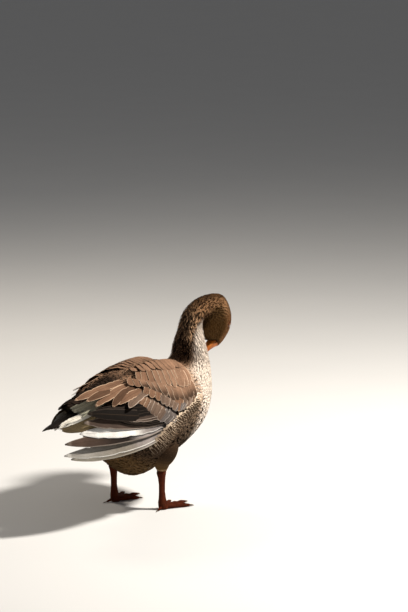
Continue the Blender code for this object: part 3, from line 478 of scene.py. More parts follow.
def mesh_from_arrays(name: str, points: Array, quads: Array, triangles: Array, flat_from: int) -> bpy.types.Object:
    """An object from arrays of points and faces.

    Args:
        name: The piece's name.
        points: One row for each point.
        quads: Four point numbers for each face.
        triangles: Three point numbers for each face.
        flat_from: The first quad that is shaded flat. All triangles are.

    Returns:
        The object, linked to the scene.
    """
    mesh = bpy.data.meshes.new(name)
    mesh.vertices.add(len(points))
    mesh.vertices.foreach_set("co", np.ascontiguousarray(points, np.float32).ravel())
    corners = np.concatenate([quads.ravel(), triangles.ravel()]).astype(np.int32)
    starts = np.concatenate([np.arange(len(quads)) * 4, len(quads) * 4 + np.arange(len(triangles)) * 3])
    mesh.loops.add(len(corners))
    mesh.loops.foreach_set("vertex_index", corners)
    mesh.polygons.add(len(starts))
    mesh.polygons.foreach_set("loop_start", starts.astype(np.int32))
    smooth = np.arange(len(starts)) < flat_from
    mesh.polygons.foreach_set("use_smooth", smooth)
    mesh.update(calc_edges=True)
    mesh.validate()
    obj = bpy.data.objects.new(name, mesh)
    bpy.context.scene.collection.objects.link(obj)
    return obj


def paint_points(obj: bpy.types.Object, name: str, colours: Array) -> None:
    """Writes one colour for each point, with alpha 1 where none is given."""
    colours = np.asarray(colours, np.float32).reshape(-1, colours.shape[-1])
    if colours.shape[-1] == 3:
        colours = np.concatenate([colours, np.ones((len(colours), 1), np.float32)], -1)
    layer = obj.data.color_attributes.new(name, "FLOAT_COLOR", "POINT")
    layer.data.foreach_set("color", colours.ravel())


def map_points(obj: bpy.types.Object, name: str, spots: Array) -> None:
    """Writes a UV map that has one spot for each point."""
    corners = np.zeros(len(obj.data.loops), np.int32)
    obj.data.loops.foreach_get("vertex_index", corners)
    layer = obj.data.uv_layers.new(name=name)
    layer.data.foreach_set("uv", spots.reshape(-1, 2)[corners].astype(np.float32).ravel())


class Weaver:
    """Turns blades into joined meshes."""

    PATCH = 0.003

    def __init__(self, columns: int, camber: float, thick: float) -> None:
        """Sets the points across a feather, its camber and its thickness, 0 for a flat underside."""
        self.across = np.linspace(0.0, 1.0, columns)
        self.camber = camber
        self.thick = thick

    def points(self, blades: Blades) -> Array:
        """Points over feathers, sections and columns, the underside after the top."""
        ahead = unit(np.gradient(blades.line, axis=1))
        out = unit(blades.out - ahead * np.sum(blades.out * ahead, -1, keepdims=True))
        side = np.cross(out, ahead)
        reach = (self.across - blades.shaft)[None, None, :, None]
        width = 2.0 * blades.half[:, :, None, None]
        bend = self.camber * np.abs(reach) ** 1.35 * 2.0 * width
        top = blades.line[:, :, None] + side[:, :, None] * reach * width - out[:, :, None] * bend
        if not self.thick:
            return top
        body = self.thick * (0.35 + 0.65 * np.exp(-((reach / 0.14) ** 2)))
        return np.concatenate([top, top - out[:, :, None] * body], axis=2)

    def faces(self, sections: int) -> tuple[Array, Array, int]:
        """The faces of one feather: quads, triangles and the number of smooth quads."""
        columns = len(self.across)
        row = columns * (2 if self.thick else 1)
        top, under, rims = [], [], []
        triangles: list[tuple[int, int, int]] = []
        for r in range(sections - 1):
            a, b = r * row, (r + 1) * row
            top += [(a + c, b + c, b + c + 1, a + c + 1) for c in range(columns - 1)]
            if self.thick:
                d, e, z = a + columns, b + columns, columns - 1
                under += [(d + c, d + c + 1, e + c + 1, e + c) for c in range(columns - 1)]
                rims += [(a, d, e, b), (a + z, b + z, e + z, d + z)]
            else:
                rims += [(a, a + columns - 1, b + columns - 1, b)]
        end = (sections - 1) * row
        if self.thick:
            for c in range(columns - 1):
                d = c + columns
                rims.append((c, c + 1, d + 1, d))
                rims.append((end + c, end + d, end + d + 1, end + c + 1))
        else:
            for c in range(1, columns - 1):
                triangles += [(0, c, c + 1), (end, end + c + 1, end + c)]
        quads = np.array(top + under + rims)
        return quads, np.array(triangles).reshape(-1, 3), len(top) + len(under)

    def weave(self, name: str, blades: Blades, finish: bpy.types.Material) -> list[bpy.types.Object]:
        """Makes the feathers as one mesh, or as several where one would be too large."""
        sections = blades.line.shape[1]
        quads, triangles, smooth = self.faces(sections)
        each = 2 * len(quads) + len(triangles)
        pieces = math.ceil(len(blades) * each / PIECE_LIMIT)
        size = math.ceil(len(blades) / pieces)
        made = []
        for i in range(pieces):
            label = name if pieces == 1 else f"{name}_{i + 1}"
            made.append(self.piece(label, blades.part(i * size, (i + 1) * size), quads, triangles, smooth, finish))
        return made

    def piece(
        self, name: str, blades: Blades, quads: Array, triangles: Array, smooth: int, finish: bpy.types.Material
    ) -> bpy.types.Object:
        """One joined mesh of feathers with its maps and colours."""
        count = len(blades)
        points = self.points(blades)
        rows = points.shape[1] * points.shape[2]
        first = (np.arange(count) * rows)[:, None, None]
        all_quads = np.concatenate([
            (quads[:smooth][None] + first).reshape(-1, 4),
            (quads[smooth:][None] + first).reshape(-1, 4),
        ])
        all_triangles = (triangles[None] + first).reshape(-1, 3)
        obj = mesh_from_arrays(name, points.reshape(-1, 3), all_quads, all_triangles, count * smooth)
        across = np.tile(self.across, 2 if self.thick else 1)
        shape = points.shape[:3]
        spots = np.stack([
            np.broadcast_to(across[None, None], shape), np.broadcast_to(blades.along[None, :, None], shape)
        ], -1)
        map_points(obj, "Vane", spots)
        map_points(obj, "OFBake", blades.root[:, None, None] + (spots - 0.5) * self.PATCH)
        web = blades.web if blades.web.ndim == 3 else blades.web[:, None]
        paint_points(obj, "Tint", np.broadcast_to(web[:, :, None], (*shape, 3)))
        paint_points(obj, "Rim", np.broadcast_to(blades.rim[:, None, None], (*shape, 4)))
        obj.data.materials.append(finish)
        return obj


def scatter(
    form: Form, low: float, high: float, gap: Callable[[Array, Array], Array], seed: int
) -> tuple[Array, Array]:
    """Spots spread evenly over a form, none closer than the gap.

    Args:
        form: The form that they lie on.
        low: The first place.
        high: The last place.
        gap: Gives the least distance between spots at places and angles.
        seed: Starts the draw.

    Returns:
        The places and the angles of the spots.
    """
    draw = np.random.default_rng(seed)
    place, angle = draw.uniform(low, high, 4000), draw.uniform(-180, 180, 4000)
    along, around = form.stretch(place, angle)
    weight = along * around / gap(place, angle) ** 2
    wanted = weight.mean() * (high - low) * 360.0
    most = weight.max()
    tries = int(5.0 * wanted * most / weight.mean())
    place, angle = draw.uniform(low, high, tries), draw.uniform(-180, 180, tries)
    along, around = form.stretch(place, angle)
    near = gap(place, angle)
    kept = draw.uniform(0, most, tries) < along * around / near**2
    place, angle, near = place[kept], angle[kept], near[kept]
    spots = form.point(place, angle)
    cell = float(near.max())
    homes = np.floor(spots / cell).astype(int)
    grid: dict[tuple[int, int, int], list[int]] = {}
    chosen = []
    for i, (x, y, z) in enumerate(homes.tolist()):
        around_here = [
            j
            for a in (x - 1, x, x + 1)
            for b in (y - 1, y, y + 1)
            for c in (z - 1, z, z + 1)
            for j in grid.get((a, b, c), ())
        ]
        if around_here:
            apart = spots[around_here] - spots[i]
            if (np.einsum("ij,ij->i", apart, apart) < near[i] ** 2).any():
                continue
        grid.setdefault((x, y, z), []).append(i)
        chosen.append(i)
    return place[chosen], angle[chosen]


class Signal:
    """A shader socket that takes part in plain arithmetic."""

    def __init__(self, maker: "Finisher", socket: bpy.types.NodeSocket) -> None:
        """Wraps an output socket."""
        self.maker = maker
        self.socket = socket

    def combine(self, operation: str, *values: "Signal | float") -> "Signal":
        """Adds a Math node on these values."""
        return self.maker.node("ShaderNodeMath", {"operation": operation}, dict(enumerate(values)))

    def __add__(self, other: "Signal | float") -> "Signal":
        """self + other."""
        return self.combine("ADD", self, other)

    __radd__ = __add__

    def __mul__(self, other: "Signal | float") -> "Signal":
        """self * other."""
        return self.combine("MULTIPLY", self, other)

    __rmul__ = __mul__

    def __sub__(self, other: "Signal | float") -> "Signal":
        """self - other."""
        return self.combine("SUBTRACT", self, other)

    def __rsub__(self, other: "Signal | float") -> "Signal":
        """other - self."""
        return self.combine("SUBTRACT", other, self)

    def __abs__(self) -> "Signal":
        """The size of self."""
        return self.combine("ABSOLUTE", self)

    def above(self, other: "Signal | float") -> "Signal":
        """The larger of two."""
        return self.combine("MAXIMUM", self, other)

    def wave(self) -> "Signal":
        """The sine of self."""
        return self.combine("SINE", self)

    def step(self, low: float, high: float) -> "Signal":
        """A smooth step from 0 at low to 1 at high."""
        settings = {"interpolation_type": "SMOOTHSTEP"}
        return self.maker.node("ShaderNodeMapRange", settings, {0: self, 1: low, 2: high, 3: 0.0, 4: 1.0})


class Finisher:
    """Builds the nodes of one material."""

    def __init__(self, name: str) -> None:
        """Starts a material with its shader."""
        self.material = bpy.data.materials.new(name)
        self.material.use_nodes = True
        self.tree = self.material.node_tree
        self.shader = self.tree.nodes["Principled BSDF"]

    def node(self, kind: str, settings: dict | None = None, inputs: dict | None = None, out: int | str = 0) -> Signal:
        """Adds a node.

        Args:
            kind: The node's type.
            settings: Its properties, such as a Math node's operation.
            inputs: Values or signals for its sockets.
            out: The output to return.

        Returns:
            The chosen output.
        """
        made = self.tree.nodes.new(kind)
        for key, value in (settings or {}).items():
            setattr(made, key, value)
        self.fill(made, inputs or {})
        return Signal(self, made.outputs[out])

    def fill(self, made: bpy.types.Node, inputs: dict) -> None:
        """Sets or links the sockets of a node."""
        for key, value in inputs.items():
            socket = made.inputs[key]
            if isinstance(value, Signal):
                self.tree.links.new(value.socket, socket)
            elif isinstance(value, tuple) and len(value) == 3 and socket.type == "RGBA":
                socket.default_value = (*value, 1.0)
            else:
                socket.default_value = value

    def attribute(self, name: str, out: str = "Color") -> Signal:
        """Reads an attribute of the mesh."""
        return self.node("ShaderNodeAttribute", {"attribute_name": name}, out=out)

    def vane(self) -> tuple[Signal, Signal]:
        """Across and along a feather, both from 0 to 1."""
        spots = self.node("ShaderNodeUVMap", {"uv_map": "Vane"})
        parts = self.node("ShaderNodeSeparateXYZ", inputs={0: spots})
        return parts, Signal(self, parts.socket.node.outputs[1])

    def place(self) -> Signal:
        """Object coordinates."""
        return self.node("ShaderNodeTexCoord", out="Object")

    def noise(self, scale: float, detail: float) -> Signal:
        """Soft noise in the object's own space."""
        inputs = {"Vector": self.place(), "Scale": scale, "Detail": detail}
        return self.node("ShaderNodeTexNoise", inputs=inputs)

    def blend(
        self, share: Signal | float, first: Signal | Colour, second: Signal | Colour, way: str = "MIX"
    ) -> Signal:
        """Two colours mixed."""
        settings = {"data_type": "RGBA", "blend_type": way}
        return self.node("ShaderNodeMix", settings, {0: share, 6: first, 7: second}, out=2)

    def toned(self, name: str, value: Signal) -> Signal:
        """A colour of the mesh, lighter or darker by a value."""
        grey = self.node("ShaderNodeCombineXYZ", inputs={0: value, 1: value, 2: value})
        return self.blend(1.0, self.attribute(name), grey, "MULTIPLY")

    def bump(self, height: Signal, distance: float, strength: float = 1.0) -> Signal:
        """A bump of this height."""
        return self.node("ShaderNodeBump", inputs={"Height": height, "Distance": distance, "Strength": strength})

    def done(self, **sockets: "Signal | float | Colour") -> bpy.types.Material:
        """Sets the shader's sockets by their names, with spaces as underscores."""
        self.fill(self.shader, {key.replace("_", " "): value for key, value in sockets.items()})
        return self.material


@dataclass(frozen=True)
class FeatherFinish:
    """Matt feather: barbs, a paler rim and a shaft line, over the colours of the mesh."""

    name: str
    barbs: float
    side_rim: float
    tip_rim: float
    tip_share: float
    shaft: float
    roughness: float
    depth: float
    mottle: float
    shaft_colour: Colour = (0.05, 0.032, 0.02)

    def build(self) -> bpy.types.Material:
        """Makes the material."""
        maker = Finisher(self.name)
        x, y = maker.vane()
        across = abs(x - 0.5) * 2.0
        soft = maker.noise(260.0, 2.0)
        barb = ((y * self.barbs - across * self.barbs * 0.22 + soft * 1.6) * (2 * math.pi)).wave() * 0.5 + 0.5
        edge = across.step(1.0 - self.side_rim, 1.0 - self.side_rim * 0.45)
        rim = edge.above(y.step(1.0 - self.tip_rim, 1.0 - self.tip_rim * 0.5) * self.tip_share)
        rim = rim * maker.attribute("Rim", "Alpha") * (0.62 + soft * 0.60)
        mottle = maker.noise(46.0, 4.0)
        grey = ((1.0 - self.mottle) + mottle * (2 * self.mottle)) * (0.80 + soft * 0.40)
        value = grey * (0.84 + barb * 0.22) * (0.74 + y.step(0.0, 0.6) * 0.26)
        web = maker.toned("Tint", value)
        line = 1.0 - across.step(0.02, 0.09)
        web = maker.blend(line * self.shaft, web, self.shaft_colour)
        colour = maker.blend(rim, web, maker.attribute("Rim"))
        height = barb * 0.5 + line * 0.8 + soft * 0.4
        return maker.done(
            Base_Color=colour,
            Roughness=self.roughness + barb * 0.10,
            Specular_IOR_Level=0.03,
            Normal=maker.bump(height, self.depth, 0.6),
        )


@dataclass(frozen=True)
class DownFinish:
    """The skin under the coat: down in the colours of the coat, darker."""

    name: str = "down"

    def build(self) -> bpy.types.Material:
        """Makes the material."""
        maker = Finisher(self.name)
        fluff = maker.noise(420.0, 5.0)
        value = 0.66 + fluff * 0.34
        colour = maker.toned("Tint", value)
        return maker.done(
            Base_Color=colour, Roughness=0.92, Specular_IOR_Level=0.03, Normal=maker.bump(fluff, 0.0012, 0.8)
        )


@dataclass(frozen=True)
class ScaleFinish:
    """Leathery skin of legs and feet, in small scales."""

    name: str = "scaled_skin"
    colour: Colour = (0.072, 0.0115, 0.0034)
    pale: Colour = (0.112, 0.022, 0.0062)
    dark: Colour = (0.036, 0.010, 0.005)
    fineness: float = 520.0

    def build(self) -> bpy.types.Material:
        """Makes the material."""
        maker = Finisher(self.name)
        bend = maker.noise(120.0, 3.0)
        spots = {"Vector": maker.place(), "Scale": self.fineness}
        cells = maker.node("ShaderNodeTexVoronoi", {"feature": "DISTANCE_TO_EDGE"}, spots)
        scale = cells.step(0.02, 0.22)
        tone = maker.node("ShaderNodeTexVoronoi", {"feature": "F1"}, spots, out="Color")
        grey = maker.node("ShaderNodeSeparateXYZ", inputs={0: tone})
        colour = maker.blend(bend.step(0.35, 0.72), self.colour, self.pale)
        colour = maker.blend((1.0 - scale) * 0.60, colour, self.dark)
        colour = maker.blend(grey * 0.28, colour, self.dark)
        worn = maker.noise(38.0, 5.0).step(0.52, 0.74)
        colour = maker.blend(worn * 0.45, colour, self.dark)
        return maker.done(
            Base_Color=colour,
            Roughness=0.46 + (1.0 - scale) * 0.25,
            Specular_IOR_Level=0.04,
            Normal=maker.bump(scale + bend * 0.25, 0.0007, 0.75),
        )


@dataclass(frozen=True)
class HornFinish:
    """Smooth horn, with fine growth lines and cloudy colour."""

    name: str
    colour: Colour
    pale: Colour
    dark: Colour
    roughness: float = 0.33

    def build(self) -> bpy.types.Material:
        """Makes the material."""
        maker = Finisher(self.name)
        cloud = maker.noise(75.0, 4.0)
        fine = maker.noise(900.0, 2.0)
        colour = maker.blend(cloud.step(0.35, 0.70), self.colour, self.pale)
        colour = maker.blend(maker.attribute("Tint", "Fac") * 0.9, colour, self.dark)
        return maker.done(
            Base_Color=colour,
            Roughness=self.roughness + fine * 0.14,
            Specular_IOR_Level=0.22,
            Normal=maker.bump(fine + cloud * 1.5, 0.00025, 0.5),
        )


@dataclass(frozen=True)
class EyeFinish:
    """A wet brown eye with a black pupil."""

    name: str = "wet_eye"
    iris: Colour = (0.115, 0.048, 0.018)

    def build(self) -> bpy.types.Material:
        """Makes the material."""
        maker = Finisher(self.name)
        spots = maker.node("ShaderNodeUVMap", {"uv_map": "Iris"})
        centred = maker.node("ShaderNodeVectorMath", {"operation": "SUBTRACT"}, {0: spots, 1: (0.5, 0.5, 0.0)})
        away = maker.node("ShaderNodeVectorMath", {"operation": "LENGTH"}, {0: centred}, out="Value")
        rays = maker.noise(900.0, 4.0)
        colour = maker.blend(rays.step(0.3, 0.7) * 0.6, self.iris, (0.26, 0.12, 0.045))
        colour = maker.blend(1.0 - away.step(0.155, 0.175), colour, (0.004, 0.003, 0.003))
        colour = maker.blend(away.step(0.31, 0.36), colour, (0.02, 0.012, 0.008))
        return maker.done(Base_Color=colour, Roughness=0.08, Coat_Weight=1.0, Coat_Roughness=0.02)


@dataclass(frozen=True)
class FloorFinish:
    """A plain pale floor."""

    name: str = "pale_floor"

    def build(self) -> bpy.types.Material:
        """Makes the material."""
        maker = Finisher(self.name)
        soft = maker.noise(3.0, 3.0)
        colour = maker.blend(soft * 0.5, (0.64, 0.65, 0.665), (0.70, 0.705, 0.715))
        return maker.done(Base_Color=colour, Roughness=0.85, Specular_IOR_Level=0.2)


@dataclass(frozen=True)
class Finishes:
    """Every material of the bird, made once."""

    body: bpy.types.Material
    wing: bpy.types.Material
    scapular: bpy.types.Material
    down: bpy.types.Material
    leg: bpy.types.Material
    bill: bpy.types.Material
    nail: bpy.types.Material
    claw: bpy.types.Material
    eye: bpy.types.Material
    floor: bpy.types.Material

    @classmethod
    def make(cls) -> "Finishes":
        """Builds all of them."""
        return cls(
            body=FeatherFinish(
                "body_feather", barbs=7.0, side_rim=0.26, tip_rim=0.24, tip_share=1.0,
                shaft=0.10, roughness=0.66, depth=0.0004, mottle=0.16,
            ).build(),
            wing=FeatherFinish(
                "wing_feather", barbs=40.0, side_rim=0.20, tip_rim=0.06, tip_share=0.6,
                shaft=0.50, roughness=0.55, depth=0.0006, mottle=0.34,
            ).build(),
            scapular=FeatherFinish(
                "scapular_feather", barbs=44.0, side_rim=0.17, tip_rim=0.05, tip_share=0.25,
                shaft=0.30, roughness=0.60, depth=0.0006, mottle=0.40,
            ).build(),
            down=DownFinish().build(),
            leg=ScaleFinish().build(),
            bill=HornFinish("bill_horn", (0.29, 0.075, 0.008), (0.38, 0.115, 0.016), (0.05, 0.022, 0.009)).build(),
            nail=HornFinish("bill_nail", (0.56, 0.40, 0.25), (0.66, 0.50, 0.34), (0.20, 0.12, 0.07)).build(),
            claw=HornFinish("claw_horn", (0.075, 0.050, 0.036), (0.13, 0.09, 0.06), (0.02, 0.015, 0.01)).build(),
            eye=EyeFinish().build(),
            floor=FloorFinish().build(),
        )


def report(piece: bpy.types.Object, slot: str, *nodes: str) -> bpy.types.Object:
    """Attaches a finished piece to the body, hides the nodes that it stands for, and logs them with its slot."""
    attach(piece, BODY)
    if nodes:
        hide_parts(*nodes)
    faces = sum(len(face.vertices) - 2 for face in piece.data.polygons)
    LOG.info("%s: %d triangles, slot %s, replaces %s", piece.name, faces, slot, ", ".join(nodes) or "nothing")
    return piece


def only(*objects: bpy.types.Object) -> None:
    """Selects these objects alone, the first one active."""
    bpy.ops.object.select_all(action="DESELECT")
    for obj in objects:
        obj.select_set(True)
    bpy.context.view_layer.objects.active = objects[0]


def apply_modifier(obj: bpy.types.Object, kind: str, **settings: object) -> None:
    """Adds a modifier, sets it and applies it."""
    only(obj)
    made = obj.modifiers.new(kind.lower(), kind)
    for key, value in settings.items():
        setattr(made, key, value)
    bpy.ops.object.modifier_apply(modifier=made.name)


def face_outwards(obj: bpy.types.Object) -> None:
    """Turns every face of a closed skin outwards."""
    form = bmesh.new()
    form.from_mesh(obj.data)
    bmesh.ops.recalc_face_normals(form, faces=form.faces)
    form.to_mesh(obj.data)
    form.free()


def new_ball(name: str, segments: int, rings: int) -> bpy.types.Object:
    """A ball of radius 1, to be shaped."""
    bpy.ops.object.select_all(action="DESELECT")
    bpy.ops.mesh.primitive_uv_sphere_add(segments=segments, ring_count=rings, radius=1.0)
    ball = bpy.context.object
    ball.name = ball.data.name = name
    return ball


def move_points(obj: bpy.types.Object, points: Array) -> None:
    """Puts the points of a mesh at these places."""
    obj.data.vertices.foreach_set("co", points.astype(np.float32).ravel())
    obj.data.update()


def nearest_of(points: Array, spots: Array) -> Array:
    """The number of the point nearest to each spot."""
    tree = KDTree(len(points))
    for i, point in enumerate(points.tolist()):
        tree.insert(point, i)
    tree.balance()
    return np.array([tree.find(spot)[1] for spot in spots.tolist()])


def closed_grid(name: str, rings: Array) -> bpy.types.Object:
    """A closed skin over rings of points, with a point in the middle of each end."""
    count, sides = rings.shape[:2]
    points = np.concatenate([rings.reshape(-1, 3), rings[0].mean(0)[None], rings[-1].mean(0)[None]])
    r, k = np.meshgrid(np.arange(count - 1), np.arange(sides), indexing="ij")
    a, b = r * sides + k, r * sides + (k + 1) % sides
    quads = np.stack([a, b, b + sides, a + sides], -1).reshape(-1, 4)
    k = np.arange(sides)
    first = np.stack([(k + 1) % sides, k, np.full(sides, count * sides)], -1)
    end = (count - 1) * sides
    last = np.stack([end + k, end + (k + 1) % sides, np.full(sides, count * sides + 1)], -1)
    obj = mesh_from_arrays(name, points, quads, np.concatenate([first, last]), len(quads) + 2 * sides)
    face_outwards(obj)
    return obj


@dataclass
class Skin:
    """One skin for body, neck, head and thighs, lying inside the solids by the depth of the coat."""

    form: BodyForm
    thighs: dict[str, ThighForm]
    markings: Markings
    finish: bpy.types.Material
    steps: int = 330
    sides: int = 132
    leg_steps: int = 40
    nodes: tuple[str, ...] = ("torso", "neck_lower", "neck_upper", "head", "thigh_left", "thigh_right")

    def shell(self, name: str, form: Form, low: float, high: float, steps: int, sides: int) -> bpy.types.Object:
        """The closed shell of one form."""
        place = np.linspace(low, high, steps)[:, None]
        angle = np.linspace(-180, 180, sides, endpoint=False)[None]
        place, angle = np.broadcast_arrays(place, angle)
        return closed_grid(name, form.point(place, angle, -form.depth(place)))

    def build(self) -> bpy.types.Object:
        """Makes the skin."""
        skin = self.shell("skin", self.form, -0.35, self.form.last, self.steps, self.sides)
        for hand, thigh in self.thighs.items():
            leg = self.shell(f"leg_{hand}", thigh, 0.2, thigh.last, self.leg_steps, self.leg_steps)
            apply_modifier(skin, "BOOLEAN", operation="UNION", solver="EXACT", object=leg)
            bpy.data.objects.remove(leg, do_unlink=True)
        self.colour(skin)
        skin.data.materials.clear()
        skin.data.materials.append(self.finish)
        skin.data.shade_smooth()
        return report(skin, "plumage", *self.nodes)

    def colour(self, skin: bpy.types.Object) -> None:
        """Reads the markings at the nearest spot of the form, and writes them and the unwrap."""
        co = np.zeros(len(skin.data.vertices) * 3)
        skin.data.vertices.foreach_get("co", co)
        co = co.reshape(-1, 3)
        places, angles = np.linspace(-0.3, self.form.last, 200), np.arange(-180, 180, 4.0)
        place, angle = np.meshgrid(places, angles, indexing="ij")
        near = self.form.point(place, angle, -0.004)
        found = nearest_of(near.reshape(-1, 3), co)
        web, _, _ = self.markings.read(place.ravel()[found], angle.ravel()[found])
        spots = self.form.unwrap(place.ravel()[found], angle.ravel()[found])
        paint_points(skin, "Tint", web)
        map_points(skin, "OFBake", spots)


@dataclass(frozen=True)
class Tract:
    """A stretch of the coat: its places, the gap between feathers and how they lie."""

    name: str
    low: float
    high: float
    gap_low: float
    gap_high: float
    long: float
    wide: float
    rise: float
    lie: Lie
    slot: str
    seed: int
    row: float = 0.0
    bed: float = 0.28

    def gap(self, place: Array, angle: Array) -> Array:
        """The gap between feathers at each place."""
        return np.interp(place, (self.low, self.high), (self.gap_low, self.gap_high))


TRACTS = (
    Tract("coat_rump", -0.25, 1.6, 0.0088, 0.0078, 2.9, 0.80, 0.0008, Lie.ROUND, "plumage", 3),
    Tract("coat_body", 1.6, 5.2, 0.0062, 0.0056, 2.9, 0.72, 0.0006, Lie.BLUNT, "plumage", 4, 0.0072, 0.20),
    Tract("coat_breast", 5.2, 8.2, 0.0042, 0.0037, 4.5, 0.92, 0.0002, Lie.POINTED, "breast", 5, 0.0, 0.06),
    Tract("coat_neck", 8.2, 14.0, 0.0040, 0.0034, 2.9, 0.54, 0.0009, Lie.POINTED, "plumage", 6),
    Tract("coat_head", 14.0, 18.95, 0.0028, 0.0020, 2.7, 0.60, 0.0003, Lie.POINTED, "plumage", 7),
)


@dataclass
class Coat:
    """The small feathers that cover the body."""

    form: Form
    finish: bpy.types.Material
    sections: int = 6
    columns: int = 3
    camber: float = 0.04

    def __post_init__(self) -> None:
        """Sets up the weaving."""
        self.weaver = Weaver(self.columns, self.camber, 0.0)

    def lay(
        self, tract: Tract, place: Array, angle: Array, colours: tuple[Array, Array, Array], lean: Array
    ) -> Blades:
        """Lays feathers along the form from their roots.

        Args:
            tract: Their sizes.
            place: Places of the roots.
            angle: Angles of the roots.
            colours: Web, rim and rim strength.
            lean: Degrees by which each turns from straight down the coat.

        Returns:
            The feathers.
        """
        draw = np.random.default_rng(tract.seed + 100)
        count = len(place)
        gap = tract.gap(place, angle)
        long = gap * tract.long * draw.uniform(0.85, 1.18, count)
        half = gap * tract.wide * draw.uniform(0.88, 1.12, count)
        along, widths = tract.lie.sections(self.sections)
        down, around = self.form.stretch(place, angle)
        turn = np.radians(lean)
        step = self.form.direction * np.minimum(long * np.cos(turn) / down, 1.3)
        swing = long * np.sin(turn) / around
        places = place[:, None] + step[:, None] * along
        angles = angle[:, None] + swing[:, None] * along
        depth = self.form.depth(place)[:, None]
        rise = tract.rise * draw.uniform(0.5, 1.5, count)[:, None]
        bed = -tract.bed * depth
        lift = -depth + (bed + depth) * np.minimum(1.0, along * 3.4) + (rise - bed) * along**1.3
        line = self.form.point(places, angles, lift)
        out = self.form.normal(places, angles)
        ragged = draw.uniform(0.86, 1.08, (count, self.sections))
        web, rim, strength = colours
        shade = draw.normal(1.0, 0.055, count).clip(0.8, 1.2)[:, None]
        alpha = (strength * draw.uniform(0.7, 1.2, count)).clip(0, 1)[:, None]
        return Blades(
            line, out, half[:, None] * widths * ragged, web * shade, np.concatenate([rim * shade, alpha], -1),
            self.form.unwrap(place, angle), along,
        )

    def in_rows(self, place: Array, angle: Array, pitch: float) -> Array:
        """Draws roots together into rows across the flank, so that their tips make wavy lines."""
        if not pitch:
            return place
        table = np.linspace(-0.5, self.form.last, 600)
        along, _ = self.form.stretch(table, np.full_like(table, 90.0))
        run = np.concatenate([[0.0], np.cumsum(along[1:] * np.diff(table))])
        down = np.abs(angle)
        share = ease(down, 50, 75) * (1 - ease(down, 140, 165)) * 0.9
        bend = 0.006 * np.sin(np.radians(angle) * 4.0) + 0.003 * np.sin(np.radians(angle) * 11.0 + 1.0)
        spot = np.interp(place, table, run) + bend
        spot = spot + (np.round(spot / pitch) * pitch - spot) * share
        return np.interp(spot - bend, run, table)

    def grow(self, tract: Tract, colour_at: Callable, lean_at: Callable, keep: Callable) -> list[bpy.types.Object]:
        """Covers a tract with feathers."""
        place, angle = scatter(self.form, tract.low, tract.high, tract.gap, tract.seed)
        place = self.in_rows(place, angle, tract.row)
        kept = keep(place, angle)
        place, angle = place[kept], angle[kept]
        draw = np.random.default_rng(tract.seed + 50)
        lean = lean_at(place, angle) + draw.normal(0.0, 6.0, len(place))
        blades = self.lay(tract, place, angle, colour_at(place, angle), lean)
        made = self.weaver.weave(tract.name, blades, self.finish)
        return [report(piece, tract.slot) for piece in made]


@dataclass(frozen=True)
class Shade:
    """The colours of one large feather."""

    web: Colour
    rim: Colour
    strength: float = 0.8
    tip: Colour | None = None
    base: Colour | None = None


BROWN = Shade((0.190, 0.106, 0.066), (0.66, 0.47, 0.33), 0.9)
DARK_BROWN = Shade((0.085, 0.046, 0.028), (0.52, 0.36, 0.25), 0.85)
PINK_BROWN = Shade((0.232, 0.136, 0.088), (0.70, 0.52, 0.38), 0.95)
# Scapular brown whose dark tip is painted shadow along the lower edge of the scapulars.
SHADOW_TIPPED_BROWN = Shade((0.232, 0.136, 0.088), (0.72, 0.53, 0.39), 0.95, (0.060, 0.036, 0.024))
SMOOTH_BROWN = Shade((0.225, 0.130, 0.083), (0.40, 0.26, 0.18), 0.4)
GREY_BROWN = Shade((0.155, 0.105, 0.078), (0.56, 0.45, 0.37), 0.9)
BLUE_GREY = Shade((0.130, 0.110, 0.102), (0.50, 0.45, 0.41), 0.8)
DARK = Shade((0.008, 0.006, 0.005), (0.065, 0.048, 0.038), 0.6)
GREY_BASE = (0.29, 0.255, 0.245)
BLACK = Shade((0.018, 0.013, 0.011), (0.30, 0.25, 0.21), 0.9, (0.080, 0.052, 0.040), GREY_BASE)
UMBER = Shade((0.070, 0.048, 0.038), (0.38, 0.31, 0.26), 0.9)
WHITE = Shade((0.90, 0.88, 0.85), (0.93, 0.91, 0.88), 0.7, None, GREY_BASE)
SAND_GREY = Shade((0.165, 0.140, 0.110), (0.46, 0.42, 0.35), 0.7, (0.26, 0.24, 0.20), GREY_BASE)
PALE_GREY = Shade((0.21, 0.185, 0.155), (0.82, 0.80, 0.75), 1.0, (0.34, 0.32, 0.29), GREY_BASE)
# White undertail coverts, painted olive with shade. CREAM is their own white.
WHITE_IN_OLIVE_SHADE = Shade((0.20, 0.150, 0.080), (0.34, 0.26, 0.155), 0.6)
CREAM = Shade((0.78, 0.74, 0.65), (0.88, 0.86, 0.80), 0.8)
# White uppertail coverts, painted grey-green with shade.
WHITE_IN_GREEN_SHADE = Shade((0.33, 0.32, 0.245), (0.50, 0.49, 0.40), 0.5)
TAIL_DARK = Shade((0.010, 0.007, 0.006), (0.06, 0.045, 0.035), 0.5)


@dataclass(frozen=True)
class Tier:
    """A row of overlapping feathers on the folded wing, from its first to its last."""

    name: str
    roots: tuple[tuple[float, float], ...]
    tips: tuple[tuple[float, float], ...]
    count: int
    lifts: tuple[float, ...]
    half: float
    shades: tuple[Shade, ...]
    finish: str = "wing"


SECTIONS = 22
FAN_TILT = -9.0
SHAFT_ASIDE = 0.12

